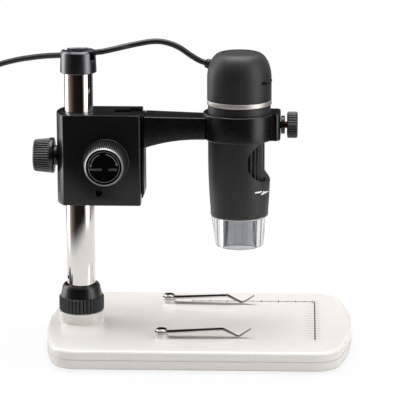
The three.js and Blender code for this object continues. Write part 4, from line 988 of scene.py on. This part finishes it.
# Knobs
def grip(profile, count, depth, sharpness=0.7):
    """A turned form with ribs, twelve steps to a rib."""
    return turned(profile, steps=count * 12, wave=ribs(count, depth, sharpness))


def paint_faces(form, number, low, high, beyond, count=0):
    """Gives the faces between two heights and beyond a radius the material of that number in the
    piece's list. With a count of ribs, only their crests take it."""
    crest = 0.17
    for face in form.faces:
        middle = face.calc_center_median()
        if not low < middle.z < high or math.hypot(middle.x, middle.y) <= beyond:
            continue
        share = count * math.atan2(middle.y, middle.x) / (2 * math.pi) % 1
        if count == 0 or abs(share - 0.5) < crest:
            face.material_index = number


# A knob's body, the painted highlight on its ribs' crests and the painted highlight on its bevel, in the
# order of their numbers
knob_materials = [knob_abs, crest_highlight_paint, bevel_highlight_paint]


def make_clamp_knob():
    """The knob at the left that clamps the block to the pole."""
    count = 42
    body = grip([
        (0, 0), (5.7, 0), (5.7, 1.2), (6.0, 1.4), (9.5, 1.4), (9.85, 1.55), (10.0, 1.9), (10.0, 3.3),
        (9.85, 3.65), (9.65, 3.8), (9.72, 4.0, 1), (9.6, 5.2, 1), (8.95, 11.6, 1), (8.7, 12.2, 0.8),
        (8.2, 12.8, 0.2), (7.4, 12.9), (6.7, 12.7), (6.4, 12.4), (0, 12.4),
    ], count, 0.5)
    knob = cut(body, rod(3.3, -1, 3.8))
    bevel_low = 12.1
    # The ribs' crests take the painted highlight tone
    paint_faces(knob, 1, 4.1, bevel_low, 7, count)
    # The clamp knob's rounded end takes the painted highlight tone
    paint_faces(knob, 2, bevel_low, 12.89, 7.5)
    knob = moved(spun(knob, -90, "Y"), block_end - running_gap, 0, gear_z)
    piece("clamp_knob_form", knob, "clamp", knob_materials, ["clamp_knob"], crease=40)


def knob_form():
    """A focus knob along Z, with a seat for the disc in its end."""
    count = 60
    body = grip([
        (0, 0), (6.4, 0), (6.4, 1.7), (12.5, 1.7), (12.8, 1.85), (12.9, 2.1), (12.9, 2.5), (12.75, 2.7),
        (12.6, 2.8, 1), (12.5, 3.4, 1), (11.05, 14.9, 1), (10.8, 15.15, 0.5), (10.55, 15.4, 0.1),
        (9.95, 15.98), (9.6, 16.0), (9.6, 14.3), (0, 14.3),
    ], count, 0.65, 0.9)
    form = cut(body, rod(2.8, -1, 12.5))
    # The ribs' crests take the painted highlight tone
    paint_faces(form, 1, 3.5, 15.1, 7, count)
    # The bevel round the disc takes the painted highlight tone
    paint_faces(form, 2, 15.0, 15.99, 9.8)
    return form


def make_focus_knobs():
    """The lock knob at the front and the focus knob at the rear, each with a glossy disc."""
    for side, knob_name, disc_name, node_name, body in (
        (-1, "front_lock_knob", "front_knob_disc", "lock_knob", "lock"),
        (1, "rear_focus_knob", "rear_knob_disc", "focus_knob", "pinion"),
    ):
        knob = moved(spun(knob_form(), -90 * side, "X"), gear_x, side * knob_start, gear_z)
        piece(knob_name, knob, body, knob_materials, [node_name], crease=40)
        disc = lathe([(0, 0), (9.5, 0), (9.5, 0.9), (0, 0.9)])
        disc = moved(spun(disc, -90 * side, "X"), gear_x, side * (knob_start + disc_seat), gear_z)
        piece(disc_name, disc, body, disc_abs, [f"{node_name}_disc"], crease=40)


def flat_line(form, points, width, height):
    """Adds a flat printed line of a width along points (x, y) at a height."""
    rows = []
    for i, point in enumerate(points):
        before = Vector(points[max(0, i - 1)])
        after = Vector(points[min(len(points) - 1, i + 1)])
        side = Vector((before.y - after.y, after.x - before.x)).normalized() * width / 2
        at = Vector(point)
        rows.append([form.verts.new((*(at + side), height)), form.verts.new((*(at - side), height))])
    for low, high in zip(rows, rows[1:]):
        form.faces.new((low[0], low[1], high[1], high[0]))


def lettering(words, size, x, y, height):
    """Plain words as flat printed letters, set about x, y."""
    data = bpy.data.curves.new("spare", "FONT")
    data.body = words
    data.size = size
    data.align_x = "CENTER"
    data.align_y = "CENTER"
    data.resolution_u = 3
    made = as_object("spare", data)
    bpy.context.view_layer.update()
    seen = made.evaluated_get(bpy.context.evaluated_depsgraph_get())
    form = bmesh.new()
    form.from_mesh(seen.to_mesh())
    seen.to_mesh_clear()
    bpy.data.objects.remove(made)
    bpy.data.curves.remove(data)
    return moved(form, x, y, height)


def print_knob_disc():
    """The lock knob's disc: a ring, two arrows and the words for the way it turns."""
    height = 0.93
    ring_line = 8.6
    arrow_line = 7.2
    letter = 1.75
    letter_y = -1.45
    form = bmesh.new()
    flat_line(form, arc(0, 0, ring_line, 0, 360, 96), 0.24, height)
    for start, end in ((110, 172), (81, 15)):
        flat_line(form, arc(0, 0, arrow_line, start, end, 24), 0.4, height)
        angle = math.radians(end)
        tip = Vector((arrow_line * math.cos(angle), arrow_line * math.sin(angle)))
        along = Vector((-math.sin(angle), math.cos(angle))) * (1 if end > start else -1)
        across = Vector((math.cos(angle), math.sin(angle)))
        corners = [tip + across * 0.7, tip - across * 0.7, tip + along * 1.4]
        form.faces.new([form.verts.new((*corner, height)) for corner in corners])
    words = [lettering(word, letter, x, letter_y, height) for word, x in (("UNLOCK", -4.6), ("LOCK", 5.0))]
    form = joined(form, *words)
    made = moved(spun(form, 90, "X"), gear_x, -knob_start - disc_seat, gear_z)
    piece("lock_disc_print", made, "lock", grey_ink)


make_block()
make_set_screw()
make_pole_bush()
make_clamp_knob()
make_focus_knobs()
print_knob_disc()


# Arm with the ring that holds the microscope
def arm_form():
    """A beam that tapers from the slide to the ring, swept on its underside."""
    steps = 24
    tip = scope_x - ring_bore - 1.2
    sections = []
    for i in range(steps + 1):
        t = i / steps
        x = arm_root + (tip - arm_root) * t
        top = 132.1 - 0.9 * t
        low = top - 12.4 - 5.5 * (1 - t) ** 2.2
        half = (20 - 3.4 * t) / 2
        outline = rounded([
            (-half, low, 1.0), (half, low, 1.0), (half, top, 0.9), (-half, top, 0.9),
        ], closed=True, steps=4)
        sections.append([(x, y, z) for y, z in outline])
    return loft(sections)


def ear_form():
    """The block on the ring that the thumb screw runs in, with a notch at each side of the ring."""
    half = 10
    root = 19
    corner = 4.5
    notch_side = 1.2
    start = scope_x + math.sqrt(root ** 2 - half ** 2)
    outer = rounded(
        [(start, -half), (ear_right, -half, corner), (ear_right, half, corner), (start, half)], steps=8,
    )
    inner = [(scope_x + x, y) for x, y in arc(0, 0, root, 31, -31, 12)]
    ear = soften(prism([*inner, *outer[1:-1]], ring_low, ring_high), 0.7, 3, 40)
    notch_x = scope_x + math.sqrt((ring_radius + notch_side) ** 2 - half ** 2)
    for side in (-1, 1):
        notch = rod(2.4, ring_low - 1, ring_high + 1)
        ear = cut(ear, moved(notch, notch_x, side * (half + notch_side)))
    return cut(ear, moved(spun(rod(2.3, -3, 3), 90, "Y"), ear_right, 0, thumb_z))


def make_arm():
    arm = arm_form()
    ring = lathe([
        (ring_bore, ring_low, 0.5), (ring_radius, ring_low, 0.9), (ring_radius, ring_high, 1.1),
        (ring_bore, ring_high, 0.5),
    ], 192, hollow=True)
    form = joined(arm, moved(ring, scope_x), ear_form())
    piece("arm_and_ring", form, "arm", black_enamel, ["ring_arm"])


def make_slide():
    """The dovetail slide: a plate outside the block and a tongue that runs in its way."""
    low = 87.4
    high = 132.2
    plate = prism([(35.4, -8.5), (36.8, -8.5), (36.8, 8.5), (35.4, 8.5)], low, high)
    plate = soften(plate, 0.25, 2)
    tongue = prism([
        (28.9, -8.3), (35.1, -5.5), (35.7, -5.5), (35.7, 5.5), (35.1, 5.5), (28.9, 8.3),
    ], low, high)
    piece("slide_form", joined(plate, tongue), "arm", black_anodised, ["dovetail_slide"])


def make_thumb_screw():
    """The ring's brass screw with its washer and its ribbed knob."""
    washer = lathe([(2.3, 0), (5.1, 0, 0.3), (5.1, 2.1, 0.3), (2.3, 2.1)], 64, hollow=True)
    washer = moved(spun(washer, 90, "Y"), ear_right + running_gap, 0, thumb_z)
    piece("ring_washer_form", washer, "arm", black_enamel, ["ring_washer"])
    pitch = 0.7
    thread_start = -3.4
    thread_end = 3.6
    thread = []
    x = thread_start
    while x < thread_end:
        thread += [(1.98, x), (1.7, x + pitch / 2)]
        x += pitch
    screw = turned([(0, -3.45), *thread, (2.0, 3.7), (2.0, 8.4), (0, 8.4)], 48)
    screw = moved(spun(screw, 90, "Y"), ear_right, 0, thumb_z)
    piece("brass_thumb_screw", screw, "ring_thumb", brass, ["ring_screw"])
    head = grip([
        (0, 0), (6.5, 0), (7.1, 0.3, 0.5), (7.4, 0.8, 1), (7.4, 5.1, 1),
        (7.1, 5.6, 0.5), (6.5, 5.85), (5.5, 5.9), (5.0, 5.6), (0, 5.6),
    ], 30, 0.4)
    head_gap = 3.6
    head = moved(spun(cut(head, rod(2.3, -1, 5.2)), 90, "Y"), ear_right + head_gap, 0, thumb_z)
    piece("thumb_knob_form", head, "ring_thumb", knob_abs, ["ring_knob"], crease=40)


make_arm()
make_slide()
make_thumb_screw()


# Microscope: dome, band, barrel with its window, roller and nose
def dome_line(inset, steps):
    """The dome's rounded shoulder from its side to its top, drawn in by an inset."""
    flat = 9.3
    reach = 8.65
    line = []
    for i in range(steps + 1):
        angle = math.radians(90 * i / steps)
        radius = flat - inset + reach * math.cos(angle) ** 0.9
        line.append((radius, scope_top - dome_rise + (dome_rise - inset) * math.sin(angle)))
    return line


def relief_frame():
    """The way that the lead leaves the dome, as a matrix."""
    sink = 5.75
    start = Vector(arch_points[0])
    heading = (Vector(arch_points[1]) - start).normalized()
    turn = heading.to_track_quat("Z", "Y").to_matrix().to_4x4()
    return Matrix.Translation(start - heading * sink) @ turn


def make_dome():
    """The dome's shell, with a seat for the button, a slot for the wheel and a hole for the lead."""
    low = band_high + 0.3
    seat = scope_top - 3.1
    lip = 9.6
    slot_x = 11.5
    inside = [(r, z) for r, z in reversed(dome_line(2, 12)) if z < seat - 2]
    outside = [(r, z) for r, z in dome_line(0, 40) if r > lip + 0.15]
    profile = [
        (15.95, low), (17.8, low), (17.95, low + 0.15), *outside, (9.65, scope_top - 0.02),
        (lip, scope_top - 0.15), (lip, seat), (2.7, seat), (2.7, seat - 2), *inside,
    ]
    shell = turned(profile, steps=192, closed=True)
    slot = rod(10.6, wheel_z - 1, wheel_z + 1, 96)
    hole = rod(3, 0, 8.1)
    bmesh.ops.transform(hole, verts=hole.verts, matrix=scope_place.inverted() @ relief_frame())
    shell = cut(shell, moved(slot, slot_x), hole)
    piece("dome_form", shell, "scope", soft_touch, ["scope_dome"], place=scope_place)


def make_button():
    button = lathe([
        (0, 158.8), (2.4, 158.8), (2.4, 164.9), (9.25, 164.9), (9.3, 166.3, 0.3), (8.8, 166.75, 0.5),
        (0, 166.9),
    ], 128)
    piece("snap_button", button, "button", soft_touch, ["snapshot_button"], place=scope_place)


def make_wheel():
    wheel = turned([
        (1.8, -0.65), (8.6, -0.65), (8.9, -0.5, 1), (9.0, -0.3, 1), (9.0, 0.3, 1), (8.9, 0.5, 1), (8.6, 0.65),
        (1.8, 0.65),
    ], steps=480, closed=True, wave=ribs(40, 0.3, 0.7))
    wheel = moved(wheel, wheel_centre, 0, wheel_z)
    piece("light_wheel", wheel, "dimmer", rubber, ["dimmer_wheel"], place=scope_place)


def make_strain_relief():
    sleeve = lathe([(1.7, 0), (2.7, 0), (2.7, 4.2, 0.8), (2.3, 5.4, 0.4), (1.7, 5.4)], 64, hollow=True)
    piece("strain_relief_form", sleeve, "scope", rubber, ["strain_relief"], place=relief_frame())


def make_band():
    inside = 16.45
    outside = 18.05
    band = lathe([
        (inside, band_low), (outside, band_low, 0.25), (outside, band_high, 0.25), (inside, band_high),
    ], 192, hollow=True)
    piece("silver_band", band, "scope_band", satin_band, ["trim_ring"], place=scope_place)


def window_cutter():
    """Cuts the window with a wall that opens slightly towards the outside."""
    squareness = 0.94
    outside = 17.5
    rings = []
    for x, grow in ((4, 0.965), (15.2, 0.985), (17.0, 1.0), (17.3, 1.015), (24, 1.05)):
        ring = []
        for i in range(96):
            angle = 2 * math.pi * i / 96
            c = math.copysign(abs(math.cos(angle)) ** squareness, math.cos(angle))
            s = math.copysign(abs(math.sin(angle)) ** squareness, math.sin(angle))
            spread = math.radians(window_spread) * c
            ring.append((x, outside * math.sin(spread) * grow, window_z + window_height * s * grow))
        rings.append(ring)
    return loft(rings)


def make_barrel():
    top = 137.7
    swell_steps = 16
    outer = [
        (15.8, barrel_low), (16.1, barrel_low + 0.1), (barrel_low_radius, barrel_low + 0.4),
        (barrel_low_radius, swell_low),
    ]
    for k in range(1, swell_steps + 1):
        z = swell_low + swell_height * k / swell_steps
        outer.append((barrel_radius(z), z))
    outer += [(17.5, 118), (17.5, 130), (17.5, top - 0.3), (17.35, top)]
    inner = [(14.5, top), (14.5, 91.7), (13.5, 91.4), (13.5, 78.6), (13.6, 78.3), (13.6, barrel_low)]
    shell = cut(turned([*outer, *inner], steps=256, closed=True), window_cutter())
    piece("barrel_form", shell, "scope", soft_touch, ["scope_barrel"], place=scope_place)


def make_roller():
    roller = turned([
        (11.1, 92), (13.2, 92), (13.9, 92.2, 0.7), (roller_radius, 92.6, 1), (roller_radius, 121.4, 1),
        (13.9, 121.8, 0.7), (13.2, 122), (11.1, 122),
    ], steps=480, closed=True, wave=ribs(32, 0.85, 0.55))
    piece("ribbed_roller", roller, "roller", rubber, ["focus_roller"], place=scope_place)


def barrel_radius(z):
    """The barrel's outside radius at a height: a straight foot, then a swell up to the window."""
    if z < swell_low:
        return barrel_low_radius
    share = min(1, (z - swell_low) / swell_height)
    return barrel_low_radius + barrel_swell * math.sin(math.pi / 2 * share) ** 0.85


def barrel_mark(name, columns):
    """A printed mark that lies on the barrel. Its columns are (degrees round, low, high)."""
    form = bmesh.new()
    print_rise = 0.06
    steps = 4
    rows = []
    for (from_turn, *from_heights), (to_turn, *to_heights) in zip(columns, columns[1:]):
        for k in range(steps if to_turn != columns[-1][0] else steps + 1):
            t = k / steps
            angle = math.radians(from_turn + (to_turn - from_turn) * t)
            row = []
            for a, b in zip(from_heights, to_heights):
                z = a + (b - a) * t
                radius = barrel_radius(z) + print_rise
                row.append(form.verts.new((scope_x + radius * math.sin(angle), -radius * math.cos(angle), z)))
            rows.append(row)
    for near, far in zip(rows, rows[1:]):
        form.faces.new((near[0], far[0], far[1], near[1]))
    piece(name, form, "scope", white_ink)


def make_nose():
    """A thick clear tube. Its bore's wall is tinted grey as painted shade, and its top edge is ground, where
    it seats in the barrel.
    """
    top = barrel_low - 0.3
    ground_low = top - 0.34
    bore = 9.7
    seat = 13.35
    form = turned(rounded([
        (9.8, 57.1), (13.3, 57.1, 0.9), (15.95, top - 0.35), (15.7, top), (13.3, top), (13.3, 76.4),
        (12.7, 76.4), (12.7, 73.9), (9.5, 73.6), (9.5, 57.4),
    ], closed=True, steps=4), 160, closed=True)
    for face in form.faces:
        middle = face.calc_center_median()
        out = math.hypot(middle.x, middle.y)
        if out < bore:
            # The bore's wall takes the grey tint of painted shade
            face.material_index = 1
        elif out > seat and middle.z > ground_low:
            face.material_index = 2
    piece(
        "clear_nose", form, "scope", [clear_acrylic, bore_shade_acrylic, ground_acrylic],
        ["nose_cone"], place=scope_place,
    )


make_dome()
make_button()
make_wheel()
make_strain_relief()
make_band()
make_barrel()
make_roller()
barrel_mark("minus_mark", [(32.3, 90.05, 90.8), (44.4, 89.8, 90.85), (49.1, 90.25, 90.85)])
barrel_mark("wedge_mark", [
    (46.7, 88.5, 88.75), (52.5, 88.5, 89.95), (54.5, 88.6, 90.8), (57, 88.7, 89.95), (64.2, 88.95, 89.75),
    (75, 88.95, 89.3),
])
make_nose()


# Materials for the solids that keep their own shape
for name, material in (
    ("ballast_plate", zinc_steel), ("clamp_screw", black_oxide), ("clamp_pad", white_nylon),
    ("pinion_shaft", zinc_steel), ("pinion_gear", brass), ("gear_rack", brass),
    ("ring_screw_tip", white_nylon), ("switch_board", green_board), ("wheel_spindle", white_nylon),
    ("lens_tube", disc_abs), ("front_lens", lens_glass), ("sensor_board", green_board),
    ("light_board", white_nylon), ("plug_body", rubber), ("plug_shell", zinc_steel),
):
    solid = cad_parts[name]
    solid.data.materials.clear()
    solid.data.materials.append(material)


# Floor, world and lamps
def make_floor():
    """A round white table, with the object's shadow on it. To the camera it fades into the white
    background, and towards its rim it turns clear, so that polished metal shows no edge of it. Its
    sizes are in metres."""
    floor_radius = 0.4
    rim_start = 0.27
    white_start = 0.1
    white_end = 0.2
    near_white = 0.88
    form = bmesh.new()
    bmesh.ops.create_circle(form, cap_ends=True, segments=128, radius=floor_radius)
    mesh = as_mesh("floor", form)
    floor = as_object("floor", mesh)
    paint = bpy.data.materials.new("white_paper")
    paint.use_nodes = True
    tree = paint.node_tree
    tree.nodes.clear()
    rays = add(tree, "ShaderNodeLightPath")
    paper = add(tree, "ShaderNodeBsdfDiffuse", None, {"Color": colour("#d0d0d0")})
    white = add(tree, "ShaderNodeEmission", None, {"Color": (1, 1, 1, 1), "Strength": 1.0})
    place = add(tree, "ShaderNodeTexCoord").outputs["Object"]
    reach = add(tree, "ShaderNodeVectorMath", {"operation": "LENGTH"}, {0: place})
    fade = add(tree, "ShaderNodeMapRange", None, {
        "Value": reach.outputs["Value"], "From Min": white_start, "From Max": white_end,
        "To Min": near_white, "To Max": 1.0,
    })
    seen = add(tree, "ShaderNodeMath", {"operation": "MAXIMUM"}, {
        0: rays.outputs["Is Camera Ray"], 1: rays.outputs["Is Transmission Ray"],
    })
    lift = add(tree, "ShaderNodeMath", {"operation": "MULTIPLY"}, {
        0: seen.outputs[0], 1: fade.outputs["Result"],
    })
    mix = add(tree, "ShaderNodeMixShader", None, {
        0: lift.outputs[0], 1: paper.outputs[0], 2: white.outputs[0],
    })
    clear = add(tree, "ShaderNodeBsdfTransparent")
    edge = add(tree, "ShaderNodeMapRange", {"interpolation_type": "SMOOTHSTEP"}, {
        "Value": reach.outputs["Value"], "From Min": rim_start, "From Max": floor_radius,
        "To Min": 0.0, "To Max": 1.0,
    })
    rim = add(tree, "ShaderNodeMixShader", None, {
        0: edge.outputs["Result"], 1: mix.outputs[0], 2: clear.outputs[0],
    })
    add(tree, "ShaderNodeOutputMaterial", None, {"Surface": rim.outputs[0]})
    mesh.materials.append(paint)


def paint_ramp(ramp, stops):
    """Sets a colour ramp's stops, which are given in degrees from -180 to 180."""
    while len(ramp.elements) < len(stops):
        ramp.elements.new(0.5)
    for element, (degrees, _) in zip(ramp.elements, stops):
        element.position = (degrees + 180) / 360
    for element, (_, code) in zip(ramp.elements, stops):
        element.color = colour(code)


def make_world():
    """White to the camera. Polished metal sees white panels with dark gaps between them, as in a
    studio, glass sees white with narrow dark gaps, and the rest of the light is plain and soft."""
    world = bpy.data.worlds.new("studio")
    bpy.context.scene.world = world
    world.use_nodes = True
    tree = world.node_tree
    tree.nodes.clear()
    rays = add(tree, "ShaderNodeLightPath")
    heading = add(tree, "ShaderNodeTexCoord").outputs["Generated"]
    parts = add(tree, "ShaderNodeSeparateXYZ", None, {0: heading})
    toward = add(tree, "ShaderNodeMath", {"operation": "MULTIPLY"}, {0: parts.outputs["Y"], 1: -1.0})
    angle = add(tree, "ShaderNodeMath", {"operation": "ARCTAN2"}, {
        0: parts.outputs["X"], 1: toward.outputs[0],
    })
    share = add(tree, "ShaderNodeMapRange", None, {
        "Value": angle.outputs[0], "From Min": -math.pi, "From Max": math.pi, "To Min": 0.0, "To Max": 1.0,
    })
    low = add(tree, "ShaderNodeValToRGB", None, {"Fac": share.outputs["Result"]})
    paint_ramp(low.color_ramp, [
        (-180, "#8a8d90"), (-164, "#9a9da0"), (-152, "#7c7e80"), (-138, "#808080"), (-126, "#ffffff"),
        (-92, "#f6f0ec"), (-80, "#a89e9a"), (-60, "#6e5e58"), (-34, "#241c19"), (38, "#15110f"),
        (50, "#f2ece6"), (82, "#fbf6f2"), (94, "#2a2624"), (130, "#1e1a18"), (142, "#8f8f8f"),
        (164, "#9a9da0"), (180, "#8a8d90"),
    ])
    high = add(tree, "ShaderNodeValToRGB", None, {"Fac": share.outputs["Result"]})
    paint_ramp(high.color_ramp, [
        (-180, "#202022"), (-170, "#242424"), (-158, "#a8a8a8"), (-126, "#f0f0f0"), (-88, "#f0f0f0"),
        (-60, "#5a524e"), (-30, "#1c1614"), (36, "#15110f"), (48, "#efeae4"), (88, "#f0f0f0"),
        (112, "#a0a0a0"), (158, "#a8a8a8"), (170, "#242424"), (180, "#202022"),
    ])
    skyline_low = -0.05
    skyline_high = 0.12
    rise = add(tree, "ShaderNodeMapRange", None, {
        "Value": parts.outputs["Z"], "From Min": skyline_low, "From Max": skyline_high,
        "To Min": 0.0, "To Max": 1.0,
    })
    panels = add(tree, "ShaderNodeMixRGB", None, {
        "Fac": rise.outputs["Result"], "Color1": low.outputs["Color"], "Color2": high.outputs["Color"],
    })
    gaps_round = 8.0
    turns = add(tree, "ShaderNodeMath", {"operation": "MULTIPLY"}, {
        0: share.outputs["Result"], 1: gaps_round,
    })
    turn = add(tree, "ShaderNodeMath", {"operation": "FRACT"}, {0: turns.outputs[0]})
    streaks = add(tree, "ShaderNodeValToRGB", None, {"Fac": turn.outputs[0]})
    paint_ramp(streaks.color_ramp, [
        (-180, "#ffffff"), (-70, "#ffffff"), (-45, "#4e4d50"), (0, "#4e4d50"), (25, "#c4c4c8"),
        (80, "#ffffff"), (180, "#ffffff"),
    ])
    ceiling_low = 0.4
    ceiling_high = 0.6
    above = add(tree, "ShaderNodeMapRange", None, {
        "Value": parts.outputs["Z"], "From Min": ceiling_low, "From Max": ceiling_high,
        "To Min": 0.0, "To Max": 1.0,
    })
    dome = add(tree, "ShaderNodeMixRGB", None, {
        "Fac": above.outputs["Result"], "Color1": panels.outputs["Color"], "Color2": colour("#a8a8a8"),
    })
    glossy = add(tree, "ShaderNodeMixRGB", None, {
        "Fac": rays.outputs["Is Glossy Ray"], "Color1": colour("#acacac"), "Color2": dome.outputs["Color"],
    })
    glass = add(tree, "ShaderNodeMixRGB", None, {
        "Fac": rays.outputs["Is Transmission Ray"], "Color1": glossy.outputs["Color"],
        "Color2": streaks.outputs["Color"],
    })
    final = add(tree, "ShaderNodeMixRGB", None, {
        "Fac": rays.outputs["Is Camera Ray"], "Color1": glass.outputs["Color"], "Color2": (1, 1, 1, 1),
    })
    back = add(tree, "ShaderNodeBackground", None, {"Color": final.outputs["Color"], "Strength": 1.0})
    add(tree, "ShaderNodeOutputWorld", None, {"Surface": back.outputs[0]})


def softbox(name, turn, distance, height, width, tall, power):
    """A soft lamp that faces the object, at degrees round it from the front towards the right. Its
    sizes are in metres and its power is in watts."""
    data = bpy.data.lights.new(name, "AREA")
    data.shape = "RECTANGLE"
    data.size = width
    data.size_y = tall
    data.energy = power
    lamp = as_object(name, data)
    angle = math.radians(turn)
    place = Vector((distance * math.sin(angle), -distance * math.cos(angle), height))
    facing = Vector((0, 0, 0.1)) - place
    lamp.matrix_world = Matrix.Translation(place) @ facing.to_track_quat("-Z", "Y").to_matrix().to_4x4()


make_floor()
make_world()
softbox("left_softbox", turn=-108, distance=0.95, height=0.2, width=0.55, tall=1.7, power=8.5)
softbox("right_softbox", turn=66, distance=0.95, height=0.2, width=0.5, tall=1.7, power=5.5)
softbox("top_softbox", turn=180, distance=0.1, height=0.9, width=0.9, tall=0.7, power=10.5)

bpy.context.scene.view_settings.view_transform = "Standard"
